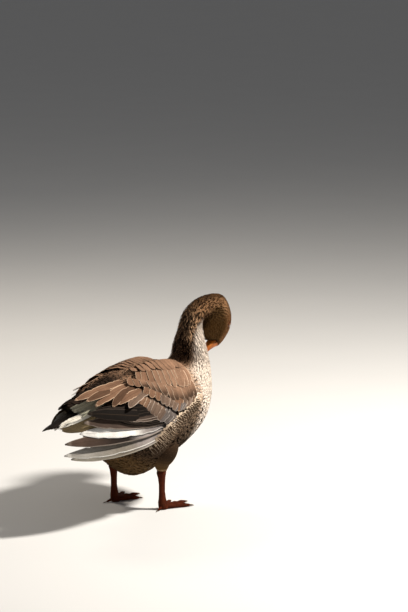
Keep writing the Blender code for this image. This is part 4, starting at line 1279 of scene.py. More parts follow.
FLANK_LINE = ((4.50, 70), (4.14, 77), (3.50, 81), (3.00, 86), (2.76, 91), (2.62, 95), (2.46, 99), (2.28, 103))
FLANK_LIFTS = (0.0090, 0.0110, 0.0135, 0.0165, 0.0200, 0.0235, 0.0270, 0.0290)
TIERS = (
    Tier("greater_coverts", ((3.40, 76), (3.12, 69), (2.84, 60), (2.66, 53), (2.50, 47)),
         ((2.84, 90), (2.60, 84), (2.38, 78), (2.14, 73), (1.90, 69)),
         10, (0.0155, 0.0165, 0.0170, 0.0165, 0.0150), 0.0112,
         (BLUE_GREY, GREY_BROWN, PINK_BROWN)),
    Tier("median_coverts", ((3.86, 68), (3.44, 64), (3.00, 52), (2.70, 42)),
         ((3.46, 80), (3.14, 77), (2.78, 66), (2.34, 53)), 10, (0.0125, 0.0140, 0.0150), 0.0090,
         (BLUE_GREY, GREY_BROWN, BROWN)),
    # The foremost lesser coverts are dark brown: painted shade under the scapulars' lower edge.
    Tier("lesser_coverts", ((4.45, 62), (4.00, 62), (3.50, 60)),
         ((4.10, 76), (3.72, 79), (3.26, 77)), 11, (0.0105, 0.0120, 0.0130), 0.0078,
         (DARK_BROWN, GREY_BROWN, BROWN)),
    Tier("scapulars_low", ((4.30, 42), (3.90, 44), (3.50, 42), (3.05, 33), (2.72, 26), (2.44, 22)),
         ((4.32, 72), (3.94, 75), (3.48, 73), (3.02, 61), (2.60, 49), (2.14, 37)),
         13, (0.0120, 0.0130, 0.0110), 0.0112,
         (SHADOW_TIPPED_BROWN, SHADOW_TIPPED_BROWN, SHADOW_TIPPED_BROWN, BROWN), "scapular"),
    Tier("scapulars_mid", ((4.62, 22), (4.10, 24), (3.50, 20), (2.90, 17)),
         ((4.30, 57), (3.72, 59), (3.10, 49), (2.46, 35)), 12, (0.0125, 0.0135, 0.0105), 0.0112,
         (PINK_BROWN, PINK_BROWN, BROWN), "scapular"),
    Tier("scapulars_high", ((4.70, 3), (4.15, 3), (3.60, 2), (3.05, 2)),
         ((4.52, 36), (3.90, 38), (3.30, 31), (2.66, 21)), 11, (0.0120, 0.0125, 0.0095), 0.0115,
         (SMOOTH_BROWN,), "scapular"),
)
FLANK_ROWS = 4


def flank_shades(row: int) -> tuple[Shade, ...]:
    """The shades of one row along the wing's lower edge, from the shoulder back. Lower rows have duller rims and the
    rear is darker: painted shade where the body turns down.
    """
    middle = Shade(Palette.FLANK, (0.66 - 0.15 * row, 0.53 - 0.13 * row, 0.40 - 0.105 * row), 1.0)
    rear_in_shade = Shade(Palette.LOW_FLANK_SHADE, (0.44 - 0.12 * row, 0.34 - 0.095 * row, 0.25 - 0.072 * row), 0.9)
    return (Shade((0.40, 0.29, 0.20), Palette.BREAST_RIM, 1.0), middle, middle, middle, rear_in_shade, rear_in_shade, rear_in_shade)


FLANK_TIERS = tuple(
    Tier(f"flank_shingles_{row + 1}",
         tuple((p + 0.36 + 0.10 * row, a + 9 + 4 * row) for p, a in FLANK_LINE),
         tuple((p + 0.10 * row, a + 4 * row) for p, a in FLANK_LINE),
         42, tuple(lift - 0.0052 * row for lift in FLANK_LIFTS), 0.0049, flank_shades(row), "body")
    for row in reversed(range(FLANK_ROWS))
)


@dataclass(frozen=True)
class Fan:
    """A fan of long feathers: rows of roots, of places that they pass and of tips."""

    name: str
    roots: tuple[tuple[float, float, float], ...]
    ways: tuple[tuple[float, float, float], ...]
    tips: tuple[tuple[float, float, float], ...]
    count: int
    half: float
    out: tuple[float, float, float]
    shades: tuple[Shade, ...]
    lie: Lie = Lie.FLIGHT
    loose: float = 0.0


FANS = {
    "right": (
        Fan("primaries",
            ((0.012, -0.1310, 0.2290), (0.010, -0.1310, 0.2330), (0.008, -0.1320, 0.2400),
             (0.006, -0.1330, 0.2460), (0.004, -0.1330, 0.2500), (0.002, -0.1330, 0.2550)),
            ((-0.098, -0.1375, 0.2090), (-0.100, -0.1365, 0.2150), (-0.104, -0.1365, 0.2345),
             (-0.108, -0.1360, 0.2445), (-0.119, -0.1310, 0.2600), (-0.122, -0.1300, 0.2780)),
            ((-0.299, -0.0830, 0.1955), (-0.311, -0.0720, 0.2045), (-0.309, -0.0725, 0.2330),
             (-0.268, -0.0813, 0.2535), (-0.256, -0.0850, 0.2800), (-0.247, -0.0880, 0.3010)),
            6, 0.0165, (-0.28, -0.90, 0.30), (SAND_GREY, PALE_GREY, BLACK, WHITE, UMBER, DARK)),
        Fan("secondaries", ((-0.004, -0.1380, 0.2560), (-0.020, -0.1370, 0.2740), (-0.036, -0.1300, 0.2960)),
            ((-0.070, -0.1385, 0.2560), (-0.080, -0.1370, 0.2720), (-0.095, -0.1230, 0.2960)),
            ((-0.176, -0.1210, 0.2760), (-0.196, -0.1110, 0.2900), (-0.216, -0.0900, 0.3080)),
            8, 0.0118, (-0.24, -0.88, 0.42), (DARK, DARK, UMBER, DARK, DARK), Lie.LONG, 0.003),
        Fan("tertials",
            ((-0.046, -0.1040, 0.3260), (-0.052, -0.0840, 0.3330), (-0.050, -0.0520, 0.3420),
             (-0.066, -0.0400, 0.3480)),
            ((-0.098, -0.1170, 0.3220), (-0.116, -0.0980, 0.3310), (-0.143, -0.0710, 0.3350),
             (-0.160, -0.0550, 0.3430)),
            ((-0.140, -0.1240, 0.3010), (-0.171, -0.1050, 0.3110), (-0.226, -0.0750, 0.3150),
             (-0.248, -0.0540, 0.3300)),
            6, 0.0125, (-0.10, -0.62, 0.78),
            (GREY_BROWN, BROWN, DARK_BROWN, BROWN, DARK_BROWN, BROWN), Lie.LONG, 0.007),
    ),
    "left": (
        Fan("primaries", ((-0.022, 0.1375, 0.246), (-0.022, 0.1365, 0.268)),
            ((-0.110, 0.1230, 0.233), (-0.108, 0.1230, 0.251)),
            ((-0.195, 0.0860, 0.220), (-0.212, 0.0670, 0.235)),
            6, 0.0135, (0.10, 0.95, 0.25), (PALE_GREY, BLACK, DARK)),
        Fan("secondaries", ((-0.020, 0.1355, 0.272), (-0.036, 0.1275, 0.292)),
            ((-0.072, 0.1300, 0.260), (-0.074, 0.1200, 0.277)),
            ((-0.122, 0.1120, 0.246), (-0.124, 0.1070, 0.258)),
            5, 0.0130, (-0.10, 0.88, 0.45), (DARK,)),
        Fan("tertials", ((-0.050, 0.112, 0.306), (-0.040, 0.085, 0.331), (-0.045, 0.060, 0.347)),
            ((-0.085, 0.108, 0.295), (-0.085, 0.082, 0.321), (-0.090, 0.052, 0.339)),
            ((-0.115, 0.104, 0.282), (-0.140, 0.076, 0.305), (-0.165, 0.052, 0.320),
             (-0.176, 0.036, 0.334)),
            6, 0.0125, (-0.10, 0.62, 0.78), (GREY_BROWN, BROWN, DARK_BROWN, BROWN), Lie.LONG, 0.007),
    ),
}


def shades_of(shades: Sequence[Shade], count: int, along: Array, draw: np.random.Generator) -> tuple[Array, Array]:
    """The web colours over each feather's length, and its rim, from first to last shade."""
    share = np.linspace(0, len(shades) - 1, count)
    pick = [shades[int(round(s))] for s in share]
    tone = draw.normal(1.0, 0.06, count).clip(0.8, 1.2)[:, None]
    web = np.array([s.web for s in pick]) * tone
    tip = np.array([s.tip or s.web for s in pick]) * tone
    rim = np.array([(*s.rim, s.strength) for s in pick])
    base = np.array([s.base or s.web for s in pick]) * tone
    whole = mixed(web[:, None], tip[:, None], ease(along, 0.55, 0.9)[None])
    return mixed(whole, base[:, None], 1 - ease(along, 0.36, 0.48)[None]), rim


def tilted(line: Array, out: Array, degrees: float) -> Array:
    """The outward directions turned about the line of each feather, so that one lies over the next."""
    ahead = unit(line[:, -1] - line[:, 0])[:, None]
    turn = math.radians(degrees)
    along = np.sum(ahead * out, -1, keepdims=True)
    return out * math.cos(turn) + np.cross(ahead, out) * math.sin(turn) + ahead * along * (1 - math.cos(turn))


def ragged(half: Array, draw: np.random.Generator) -> Array:
    """Widths with small breaks in the edges."""
    cuts = draw.uniform(0, 1, half.shape) > 0.90
    cuts[:, :3] = False
    return half * np.where(cuts, 0.84, draw.uniform(0.975, 1.015, half.shape))


def fan_blades(fan: Fan, shift: Array, side: float, draw: np.random.Generator) -> Blades:
    """The long feathers of a fan, each on a curve through its three points.

    Args:
        fan: Its rows.
        shift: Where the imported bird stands.
        side: 1 on the bird's left, -1 on its right.
        draw: Draws the breaks and tones.

    Returns:
        The feathers, each upper one lying over the next.
    """
    along, widths = fan.lie.sections(SECTIONS)
    share = np.linspace(0, 1, fan.count)
    roots, ways, tips = (read_rows(rows, share) for rows in (fan.roots, fan.ways, fan.tips))
    tips = tips + draw.uniform(-fan.loose, fan.loose, tips.shape)
    first = np.linalg.norm(ways - roots, axis=1)
    second = np.linalg.norm(tips - ways, axis=1)
    t = (first / (first + second))[:, None]
    handle = (ways - (1 - t) ** 2 * roots - t**2 * tips) / (2 * t * (1 - t))
    s = along[None, :, None]
    line = (1 - s) ** 2 * roots[:, None] + 2 * s * (1 - s) * handle[:, None] + s**2 * tips[:, None]
    line = line + shift
    out = np.broadcast_to(unit(np.array(fan.out)), line.shape)
    out = tilted(line, out, FAN_TILT * side)
    half = ragged(np.tile(fan.half * widths, (fan.count, 1)), draw)
    web, rim = shades_of(fan.shades, fan.count, along, draw)
    spots = np.stack([0.1 + 0.25 * share, np.full(fan.count, 0.5 + 0.3 * side)], -1)
    return Blades(line, out, half, web, rim, spots, along, 0.5 - SHAFT_ASIDE * side)


@dataclass
class Wing:
    """One folded wing: its coverts, scapulars and long feathers."""

    hand: str
    form: BodyForm
    finishes: Finishes
    columns: int = 9
    camber: float = 0.05
    thick: float = 0.0005
    sunk: float = 0.003
    tilt: float = 5.0

    def __post_init__(self) -> None:
        """Finds its side and starts the draws."""
        self.side = SIDES[self.hand]
        self.weaver = Weaver(self.columns, self.camber, self.thick)
        self.draw = np.random.default_rng(WING_SEEDS[self.hand])

    def tier(self, tier: Tier) -> Blades:
        """The feathers of a row on the wing."""
        along, widths = Lie.COVERT.sections(SECTIONS)
        share = np.linspace(0, 1, tier.count)
        roots, tips = read_rows(tier.roots, share), read_rows(tier.tips, share)
        tips = tips + self.draw.uniform((-0.05, -1.8), (0.05, 1.8), tips.shape)
        path = roots[:, None] + (tips - roots)[:, None] * along[None, :, None]
        high = np.interp(share, np.linspace(0, 1, len(tier.lifts)), tier.lifts)[:, None] * WING_LIFT[self.hand]
        high = high + self.draw.uniform(-0.0004, 0.0004, (tier.count, 1))
        lift = -self.sunk + (high + self.sunk) * np.minimum(1.0, along * 2.2)
        line = self.form.point(path[..., 0], path[..., 1] * self.side, lift)
        out = self.form.normal(path[..., 0], path[..., 1] * self.side)
        out = tilted(line, out, self.tilt * self.side)
        wide = self.draw.uniform(0.92, 1.08, (tier.count, 1))
        half = ragged(np.tile(tier.half * widths, (tier.count, 1)) * wide, self.draw)
        web, rim = shades_of(tier.shades, tier.count, along, self.draw)
        spots = self.form.unwrap(roots[:, 0], roots[:, 1] * self.side)
        return Blades(line, out, half, web, rim, spots, along)

    def build(self) -> list[bpy.types.Object]:
        """Makes the wing's pieces."""
        made = []
        for i, fan in enumerate(FANS[self.hand]):
            blades = fan_blades(fan, self.form.shift, self.side, self.draw)
            piece = self.weaver.weave(f"{self.hand}_{fan.name}", blades, self.finishes.wing)[0]
            nodes = (f"wing_{self.hand}",) if i == 0 else ()
            made.append(report(piece, "wing", *nodes))
        for tier in (*TIERS, *FLANK_TIERS):
            finish = getattr(self.finishes, tier.finish)
            piece = self.weaver.weave(f"{self.hand}_{tier.name}", self.tier(tier), finish)[0]
            made.append(report(piece, "wing"))
        return made


TAIL_FANS = (
    Fan("coverts_above",
        ((-0.165, -0.066, 0.312), (-0.168, -0.045, 0.319), (-0.170, -0.018, 0.322)),
        ((-0.200, -0.060, 0.302), (-0.205, -0.042, 0.307), (-0.205, -0.018, 0.310)),
        ((-0.236, -0.053, 0.289), (-0.246, -0.037, 0.295), (-0.236, -0.016, 0.302)),
        9, 0.0098, (-0.30, -0.35, 0.90), (WHITE_IN_GREEN_SHADE,), Lie.COVERT, 0.004),
    Fan("coverts_far",
        ((-0.165, 0.055, 0.302), (-0.168, 0.035, 0.311), (-0.170, 0.010, 0.318)),
        ((-0.196, 0.050, 0.294), (-0.200, 0.032, 0.302), (-0.203, 0.008, 0.309)),
        ((-0.222, 0.044, 0.285), (-0.228, 0.028, 0.293), (-0.230, 0.006, 0.301)),
        8, 0.0095, (-0.30, 0.35, 0.90), (DARK,), Lie.COVERT, 0.003),
    Fan("side_white",
        ((-0.188, -0.058, 0.2900), (-0.190, -0.060, 0.2960)),
        ((-0.243, -0.052, 0.2790), (-0.244, -0.054, 0.2850)),
        ((-0.300, -0.040, 0.2680), (-0.296, -0.042, 0.2735)),
        3, 0.0068, (-0.48, -0.86, 0.10), (CREAM,), Lie.LONG, 0.002),
    Fan("side_shaded_white",
        ((-0.182, -0.052, 0.2520), (-0.186, -0.055, 0.2860)),
        ((-0.232, -0.045, 0.2510), (-0.240, -0.048, 0.2745)),
        ((-0.280, -0.034, 0.2560), (-0.292, -0.037, 0.2655)),
        7, 0.0085, (-0.48, -0.86, -0.10), (WHITE_IN_OLIVE_SHADE,), Lie.LONG, 0.003),
    Fan("side_far",
        ((-0.178, 0.052, 0.2500), (-0.178, 0.058, 0.2800)),
        ((-0.218, 0.046, 0.2470), (-0.220, 0.048, 0.2660)),
        ((-0.252, 0.034, 0.2460), (-0.256, 0.036, 0.2540)),
        7, 0.0080, (-0.30, 0.90, -0.30), (WHITE_IN_OLIVE_SHADE, CREAM, WHITE_IN_OLIVE_SHADE), Lie.LONG, 0.003),
    Fan("coverts_below",
        ((-0.172, -0.044, 0.262), (-0.172, 0.000, 0.250), (-0.172, 0.044, 0.250)),
        ((-0.225, -0.034, 0.257), (-0.230, 0.000, 0.250), (-0.225, 0.034, 0.246)),
        ((-0.282, -0.024, 0.258), (-0.286, 0.000, 0.255), (-0.276, 0.024, 0.249)),
        11, 0.0110, (-0.10, -0.10, -0.98), (WHITE_IN_OLIVE_SHADE, CREAM, WHITE_IN_OLIVE_SHADE), Lie.LONG, 0.003),
)


@dataclass
class Tail:
    """The drooping tail: a fan of tail feathers between the coverts above and below."""

    form: BodyForm
    finish: bpy.types.Material
    root: tuple[float, float, float] = (-0.196, 0.0, 0.298)
    length: float = 0.116
    start: float = 0.018
    count: int = 14
    spread: float = 15.0
    droop: float = 21.0
    roll: float = 18.0
    swing: float = -1.0
    half: float = 0.0125
    columns: int = 7
    camber: float = 0.06
    thick: float = 0.0008

    def __post_init__(self) -> None:
        """Sets the directions of the tail."""
        self.weaver = Weaver(self.columns, self.camber, self.thick)
        self.draw = np.random.default_rng(31)
        droop, roll, swing = (math.radians(v) for v in (self.droop, self.roll, self.swing))
        self.back = np.array([-math.cos(droop) * math.cos(swing), math.sin(swing), -math.sin(droop)])
        level = unit(np.cross(self.back, (0.0, 0.0, 1.0)))
        upright = np.cross(level, self.back)
        self.across = level * math.cos(roll) - upright * math.sin(roll)
        self.up = np.cross(self.across, self.back)
        self.centre = np.array(self.root) + self.form.shift

    def fan(self) -> Blades:
        """The tail feathers, the middle ones on top."""
        along, widths = Lie.FLIGHT.sections(18)
        share = np.linspace(-1, 1, self.count)[:, None]
        spread = np.radians(self.spread * share)
        start = self.centre + self.back * self.start + self.across * 0.020 * share
        start = start + self.up * (0.001 - 0.0055 * np.abs(share))
        heading = self.back * np.cos(spread) + self.across * np.sin(spread)
        length = (self.length - self.start) * (1.0 - 0.14 * share**2)
        s = along[None, :, None]
        line = start[:, None] + heading[:, None] * length[:, None] * s - self.up * 0.004 * share[:, None] ** 2
        out = np.broadcast_to(unit(self.up - self.across * 0.10 * share)[:, None], line.shape)
        half = np.tile(self.half * widths, (self.count, 1))
        web, rim = shades_of((TAIL_DARK,), self.count, along, self.draw)
        spots = np.stack([np.full(self.count, 0.05), np.linspace(0.3, 0.7, self.count)], -1)
        return Blades(line, out, half, web, rim, spots, along)

    def build(self) -> list[bpy.types.Object]:
        """Makes the tail's pieces."""
        fan = self.weaver.weave("tail_fan", self.fan(), self.finish)[0]
        made = [report(fan, "tail", "tail")]
        for row in TAIL_FANS:
            blades = fan_blades(row, self.form.shift, 1.0 if row.out[1] > 0 else -1.0, self.draw)
            made.append(report(self.weaver.weave(f"tail_{row.name}", blades, self.finish)[0], "tail"))
        return made


@dataclass
class Bill:
    """The two halves of the bill with nostrils, nail and the toothed edges.

    Base and tip each give half the width, the height above the mouth and the depth below it.
    """

    form: BodyForm
    finishes: Finishes
    length: float = 0.053
    base: tuple[float, float, float] = (0.0150, 0.0185, 0.0105)
    tip: tuple[float, float, float] = (0.0095, 0.0048, 0.0034)
    round_from: float = 0.84
    gap: float = 0.0003
    steps: int = 64
    sides: int = 48
    nail_size: tuple[float, float, float] = (0.0076, 0.0069, 0.0034)

    def __post_init__(self) -> None:
        """Finds the middle of the bill's base and its directions."""
        end, side = np.array(self.form.last), np.array(90.0)
        back, belly = (self.form.bare(end, np.array(a)) for a in (0.0, 180.0))
        self.up = unit(back - belly)
        self.across = np.array([0.0, 1.0, 0.0])
        forward = unit(np.cross(self.up, self.across))
        inward = self.form.bare(end - 1.0, side) - self.form.bare(end, side)
        self.forward = forward if forward @ inward < 0 else -forward
        self.centre = (back + belly) / 2 + self.form.shift

    def half(self, name: str, above: bool) -> bpy.types.Object:
        """One half, flat along the line of the mouth."""
        along = np.linspace(0.0, 1.0, self.steps)[:, None]
        turn = np.linspace(0.0, math.pi, self.sides)[None]
        sign = 1.0 if above else -1.0
        power = along**0.75
        wide = self.base[0] * (1 - power) + self.tip[0] * power
        if above:
            tall = self.base[1] * (1 - power) + self.tip[1] * power
        else:
            tall = self.base[2] * (1 - along) + self.tip[2] * along
            wide = wide * 0.90
        rounding = np.maximum(0, (along - self.round_from) / (1 - self.round_from))
        close = 0.1 + 0.9 * np.sqrt(np.maximum(1 - rounding**2, 0))
        smile = -0.0022 * np.sin(math.pi * along) - 0.0020
        teeth = 0.00022 * np.sin(along * 210.0) * np.exp(-((np.sin(turn) / 0.16) ** 2)) * (1 - ease(along, 0.75, 0.9))
        ridge = 0.0007 * np.exp(-(((turn - math.pi / 2) / 0.22) ** 2)) * (1 - along) if above else 0.0
        rise = sign * (tall * close * np.sin(turn) ** 0.9 + ridge)
        side = (wide * close + teeth) * np.cos(turn)
        if above:
            nostril = np.exp(-(((along - 0.42) / 0.062) ** 2) - ((np.abs(np.cos(turn)) - 0.80) / 0.075) ** 2)
            side = side - np.sign(np.cos(turn)) * 0.0019 * nostril
        forward = self.gap + self.length * along * (1.0 if above else 0.965)
        points = (
            self.centre
            + self.forward * (forward + 0 * turn)[..., None]
            + self.across * side[..., None]
            + self.up * (smile + sign * self.gap / 2 + rise)[..., None]
        )
        obj = closed_grid(name, points)
        # Painted shade in the nostrils. The bill is also darker at its base and along the line of the mouth.
        dark = np.zeros((self.steps, self.sides))
        if above:
            dark = np.clip(nostril * 1.2, 0, 1)
        dark = np.maximum(dark, 0.30 * (1 - ease(along + 0 * turn, 0.0, 0.07)))
        dark = np.maximum(dark, 0.35 * np.exp(-((np.sin(turn) / 0.10) ** 2)) * (1 + 0 * along))
        dark = np.concatenate([dark.ravel(), [0.3, 0.3]])
        paint_points(obj, "Tint", np.repeat(dark[:, None], 3, 1))
        obj.data.materials.append(self.finishes.bill)
        obj.data.shade_smooth()
        return obj

    def nail(self) -> bpy.types.Object:
        """The hard pale nail at the tip."""
        nail = new_ball("bill_nail", 32, 16)
        co = np.array([v.co for v in nail.data.vertices])
        co[:, 2] = np.where(co[:, 2] < -0.3, -0.3 + (co[:, 2] + 0.3) * 0.4, co[:, 2])
        long, wide, tall = self.nail_size
        frame = np.stack([self.forward * long, self.across * wide, self.up * tall], 1)
        spot = self.centre + self.forward * (self.length - 0.0058) + self.up * 0.0020
        drop = np.clip(co[:, 0], 0, 1) ** 2
        points = spot + co @ frame.T - self.up * drop[:, None] * 0.0016
        move_points(nail, points)
        paint_points(nail, "Tint", np.repeat(ease(-co[:, :1], 0.5, 1.0) * 0.5, 3, 1))
        nail.data.materials.append(self.finishes.nail)
        nail.data.shade_smooth()
        return nail

    def build(self) -> list[bpy.types.Object]:
        """Makes the bill."""
        upper = report(self.half("upper_bill", True), "bill", "bill_upper")
        lower = report(self.half("lower_bill", False), "bill", "bill_lower")
        return [upper, lower, report(self.nail(), "bill")]


@dataclass
class Eye:
    """An eye with its lids."""

    hand: str
    form: BodyForm
    finishes: Finishes
    radius: float = 0.0072
    sunk: float = 0.0042

    def __post_init__(self) -> None:
        """Finds the eye's centre and the direction that it looks."""
        form = self.form
        place, angle = np.array(EYE_PLACE[0]), np.array(EYE_PLACE[1] * SIDES[self.hand])
        self.out = form.normal(place, angle)
        self.centre = form.bare(place, angle) + form.shift - self.out * self.sunk
        ahead = form.bare(place + 0.1, angle) - form.bare(place - 0.1, angle)
        self.front = unit(ahead - self.out * (ahead @ self.out))
        self.across = np.cross(self.out, self.front)

    def ball(self) -> bpy.types.Object:
        """The eyeball with its iris map."""
        eye = new_ball(f"{self.hand}_eye", 48, 32)
        co = np.array([v.co for v in eye.data.vertices])
        swell = 1.0 + 0.05 * ease(co[:, 2], 0.6, 1.0)
        frame = np.stack([self.front, self.across, self.out], 1)
        points = self.centre + (co * swell[:, None]) @ frame.T * (self.radius - 0.0001)
        move_points(eye, points)
        map_points(eye, "Iris", 0.5 + 0.5 * co[:, :2] + (co[:, 2:] < 0) * 2.0)
        eye.data.materials.append(self.finishes.eye)
        eye.data.shade_smooth()
        return eye

    def lids(self) -> bpy.types.Object:
        """The bare rim of the lids, pulled to a soft point fore and aft."""
        turn = np.linspace(0, 2 * math.pi, 72, endpoint=False)[:, None]
        around = np.linspace(0, 2 * math.pi, 14, endpoint=False)[None]
        thick = 0.0011 * (1 + 0.12 * np.sin(turn * 17) + 0.3 * np.maximum(0, -np.sin(turn)) ** 2)
        major = 0.0062 + 0.0006 * np.abs(np.cos(turn)) ** 6 - 0.0007 * np.abs(np.sin(turn)) ** 2
        radius = major + thick * np.cos(around)
        high = 0.0038 + thick * 0.9 * np.sin(around)
        rings = (
            self.centre
            + self.front * (radius * np.cos(turn))[..., None]
            + self.across * (radius * np.sin(turn))[..., None]
            + self.out * high[..., None]
        )
        count, sides = rings.shape[:2]
        r, k = np.meshgrid(np.arange(count), np.arange(sides), indexing="ij")
        a, b = r * sides + k, r * sides + (k + 1) % sides
        c, d = ((r + 1) % count) * sides + (k + 1) % sides, ((r + 1) % count) * sides + k
        quads = np.stack([a, b, c, d], -1).reshape(-1, 4)
        obj = mesh_from_arrays(f"{self.hand}_lids", rings.reshape(-1, 3), quads, np.zeros((0, 3), int), len(quads))
        face_outwards(obj)
        obj.data.materials.append(self.finishes.leg)
        return obj

    def build(self) -> list[bpy.types.Object]:
        """Makes the eye and its lids."""
        return [report(self.ball(), "eye", f"eye_{self.hand}"), report(self.lids(), "leg")]


@dataclass
class Leg:
    """A bare leg with its webbed foot and claws, smoothed from the solids and scaled."""

    hand: str
    nodes: dict[str, bpy.types.Object]
    finishes: Finishes
    voxel: float = 0.0011
    claws: tuple[str, ...] = ("inner", "middle", "outer", "hind")
    ring_pitch: float = 0.0052
    ring_rise: float = 0.00045
    toe_pitch: float = 0.0040
    toe_rise: float = 0.00035

    def copy_of(self, name: str, *nodes: str) -> bpy.types.Object:
        """A merged copy of some nodes."""
        copies = []
        for node in nodes:
            copy = bpy.data.objects.new(name, self.nodes[node].data.copy())
            bpy.context.scene.collection.objects.link(copy)
            copies.append(copy)
        only(*copies)
        if len(copies) > 1:
            bpy.ops.object.join()
        made = bpy.context.view_layer.objects.active
        made.name = made.data.name = name
        made.data.materials.clear()
        form = bmesh.new()
        form.from_mesh(made.data)
        bmesh.ops.remove_doubles(form, verts=form.verts, dist=1e-6)
        form.to_mesh(made.data)
        form.free()
        return made

    def build(self) -> list[bpy.types.Object]:
        """Makes the leg and its claws."""
        shank, foot = f"shank_{self.hand}", f"foot_{self.hand}"
        leg = self.copy_of(f"{self.hand}_leg", shank, foot)
        apply_modifier(leg, "REMESH", mode="VOXEL", voxel_size=self.voxel)
        apply_modifier(leg, "SMOOTH", factor=0.5, iterations=6)
        self.scutes(leg)
        leg.data.materials.append(self.finishes.leg)
        leg.data.shade_smooth()
        made = [report(leg, "leg", shank, foot)]
        for toe in self.claws:
            node = f"claw_{toe}_{self.hand}"
            claw = self.copy_of(f"{self.hand}_{toe}_claw", node)
            apply_modifier(claw, "SUBSURF", levels=2, render_levels=2)
            paint_points(claw, "Tint", np.zeros((len(claw.data.vertices), 3)))
            claw.data.materials.append(self.finishes.claw)
            claw.data.shade_smooth()
            made.append(report(claw, "claw", node))
        return made

    def scutes(self, leg: bpy.types.Object) -> None:
        """Raises cross scales down the front of the leg and along the toes."""
        low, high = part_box(f"foot_{self.hand}")
        co = np.array([v.co for v in leg.data.vertices])
        normal = np.array([v.normal for v in leg.data.vertices])
        shank = ease(co[:, 2], 0.014, 0.024)
        front = np.clip(normal[:, 0], 0, 1) ** 0.5 * shank
        rings = np.abs(np.sin(co[:, 2] * math.pi / self.ring_pitch)) ** 0.5
        up = np.clip(normal[:, 2], 0, 1) * (1 - shank) * ease(co[:, 2], 0.004, 0.007)
        centre = np.array([(low.x + 0.030), (low.y + high.y) / 2])
        away = np.linalg.norm(co[:, :2] - centre, axis=1)
        toes = np.abs(np.sin(away * math.pi / self.toe_pitch)) ** 0.5
        raised = self.ring_rise * front * (rings - 0.6) + self.toe_rise * up * (toes - 0.6)
        co = co + normal * raised[:, None]
        co[:, 2] = np.maximum(co[:, 2], 0.0)
        move_points(leg, co)


@dataclass
class Studio:
    """The pale floor, the lights and the camera. The target is the point on the floor that they are set out from."""

    target: Array
    finish: bpy.types.Material
    turn: float = 45.0
    look_down: float = 16.0
    distance: float = 6.0
    focal_pixels: float = 2340.0
    picture: tuple[int, int] = (408, 612)
    foot_pixel: tuple[float, float] = (133.0, 505.8)
    sensor: float = 36.0
    aim_height: float = 0.28

    def floor(self) -> None:
        """A wide floor that sweeps up behind the bird."""
        bpy.ops.object.select_all(action="DESELECT")
        bpy.ops.mesh.primitive_circle_add(vertices=96, radius=45.0, fill_type="NGON")
        floor = bpy.context.object
        floor.name = "floor"
        bpy.ops.object.mode_set(mode="EDIT")
        bpy.ops.mesh.select_all(action="SELECT")
        bpy.ops.mesh.extrude_region_move(TRANSFORM_OT_translate={"value": (0, 0, -0.02)})
        bpy.ops.object.mode_set(mode="OBJECT")
        top = max(v.co.z for v in floor.data.vertices)
        for vertex in floor.data.vertices:
            vertex.co.z -= top + 0.0002
        floor.data.materials.append(self.finish)

    def area(self, name: str, away: tuple[float, float, float], size: float, power: float, colour: Colour) -> None:
        """A soft lamp that looks at the bird."""
        lamp = bpy.data.lights.new(name, "AREA")
        lamp.shape = "DISK"
        lamp.size, lamp.energy, lamp.color = size, power, colour
        obj = bpy.data.objects.new(name, lamp)
        bpy.context.scene.collection.objects.link(obj)
        aim = Vector((float(self.target[0]), float(self.target[1]), self.aim_height))
        obj.location = aim + Vector(away)
        obj.rotation_euler = (aim - obj.location).to_track_quat("-Z", "Y").to_euler()

    def lights(self) -> None:
        """A warm key from the front right, a cool fill and a pale surround."""
        self.area("key", (1.35, -1.65, 2.40), 0.40, 200.0, (1.0, 0.93, 0.83))
        self.area("fill", (-2.4, -1.6, 1.5), 2.2, 5.0, (0.95, 0.96, 1.0))
        self.area("rim", (0.3, 2.5, 2.2), 1.2, 40.0, (1.0, 0.88, 0.72))
        world = bpy.data.worlds.new("surround")
        bpy.context.scene.world = world
        world.use_nodes = True
        world.node_tree.nodes["Background"].inputs[0].default_value = (0.92, 0.91, 0.90, 1.0)
        world.node_tree.nodes["Background"].inputs[1].default_value = 0.15

    def camera(self) -> None:
        """The camera at the photograph's angle, so that the bird fills the same place of the frame."""
        turn, tip = math.radians(self.turn), math.radians(self.look_down)
        view = np.array([math.sin(turn) * math.cos(tip), math.cos(turn) * math.cos(tip), -math.sin(tip)])
        right = np.array([math.cos(turn), -math.sin(turn), 0.0])
        up = np.cross(right, view)
        aside = (self.picture[0] / 2 - self.foot_pixel[0]) / self.focal_pixels
        above = (self.foot_pixel[1] - self.picture[1] / 2) / self.focal_pixels
        aim = unit(view + right * aside + up * above)
        made = bpy.data.cameras.new("camera")
        made.sensor_fit = "VERTICAL"
        made.sensor_height = self.sensor
        made.lens = self.focal_pixels / self.picture[1] * self.sensor
        obj = bpy.data.objects.new("camera", made)
        bpy.context.scene.collection.objects.link(obj)
        obj.location = Vector(self.target - view * self.distance)
        obj.rotation_euler = Vector(aim).to_track_quat("-Z", "Y").to_euler()
        bpy.context.scene.camera = obj

    def build(self) -> None:
        """Sets the stage."""
        bpy.context.scene.view_settings.view_transform = "Standard"
        self.floor()
        self.lights()
        self.camera()


def body_lean(place: Array, angle: Array) -> Array:
    """How the small feathers turn from straight down the coat, in degrees."""
    down = np.abs(angle)
    flank = ease(down, 60, 100) * (1 - ease(down, 130, 165)) * ease(place, 1.5, 3.0) * (1 - ease(place, 5.5, 6.5))
    neck = ease(place, 8.5, 10.0) * (1 - ease(place, 13.5, 15.0))
    return np.sign(angle) * (-flank * 14.0 + neck * 14.0)


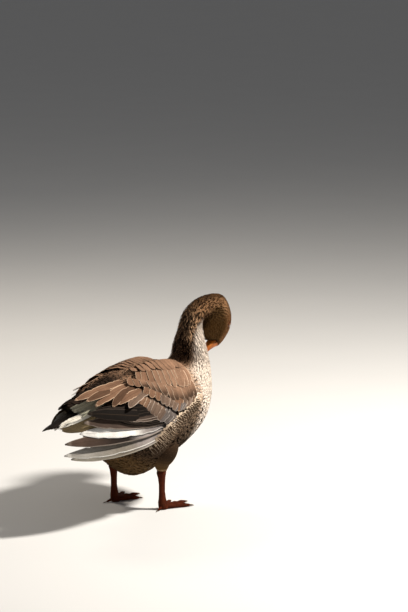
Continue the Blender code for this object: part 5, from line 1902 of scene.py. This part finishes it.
def clear_of_face(form: BodyForm) -> Callable[[Array, Array], Array]:
    """Gives a test that keeps feathers off the eyes."""

    def keep(place: Array, angle: Array) -> Array:
        """True where a feather may root."""
        spots = form.point(place, angle)
        clear = np.ones(len(place), bool)
        for side in SIDES.values():
            eye = form.point(np.array(EYE_PLACE[0]), np.array(EYE_PLACE[1] * side))
            clear &= np.linalg.norm(spots - eye, axis=-1) > EYE_CLEAR
        return clear

    return keep


def grow_thigh(hand: str, thigh: ThighForm, finish: bpy.types.Material) -> None:
    """Feathers one thigh."""

    def colours(place: Array, angle: Array) -> tuple[Array, Array, Array]:
        """Tan over the whole thigh."""
        web = np.tile(np.array(Palette.THIGH), (len(place), 1))
        rim = np.tile(np.array(Palette.THIGH_RIM), (len(place), 1))
        return web, rim, np.full(len(place), 0.5)

    def lean(place: Array, angle: Array) -> Array:
        """Straight down."""
        return np.zeros_like(place)

    tract = Tract(f"coat_thigh_{hand}", 0.4, 4.9, 0.0062, 0.0040, 2.7, 0.72, 0.0006, Lie.ROUND, "plumage", 8)
    Coat(thigh, finish).grow(tract, colours, lean, lambda place, angle: np.ones(len(place), bool))


def main() -> None:
    """Loads the solids, dresses them and sets the stage."""
    logging.basicConfig(level=logging.INFO, format="%(message)s")
    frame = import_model()
    bpy.ops.object.select_all(action="DESELECT")
    low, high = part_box("torso")
    shift = np.array([low.x - TAIL_ROOT_X, (low.y + high.y) / 2, 0.0])
    form = BodyForm(shift)
    thighs = {hand: ThighForm(hand, shift) for hand in SIDES}
    markings = Markings(form)
    finishes = Finishes.make()
    Studio(shift, finishes.floor).build()
    Skin(form, thighs, markings, finishes.down).build()
    coat = Coat(form, finishes.body)
    for tract in TRACTS:
        coat.grow(tract, markings.read, body_lean, clear_of_face(form))
    for hand, thigh in thighs.items():
        grow_thigh(hand, thigh, finishes.body)
    for hand in SIDES:
        Wing(hand, form, finishes).build()
        Leg(hand, frame["nodes"], finishes).build()
        Eye(hand, form, finishes).build()
    Tail(form, finishes.wing).build()
    Bill(form, finishes).build()


if __name__ == "__main__":
    main()
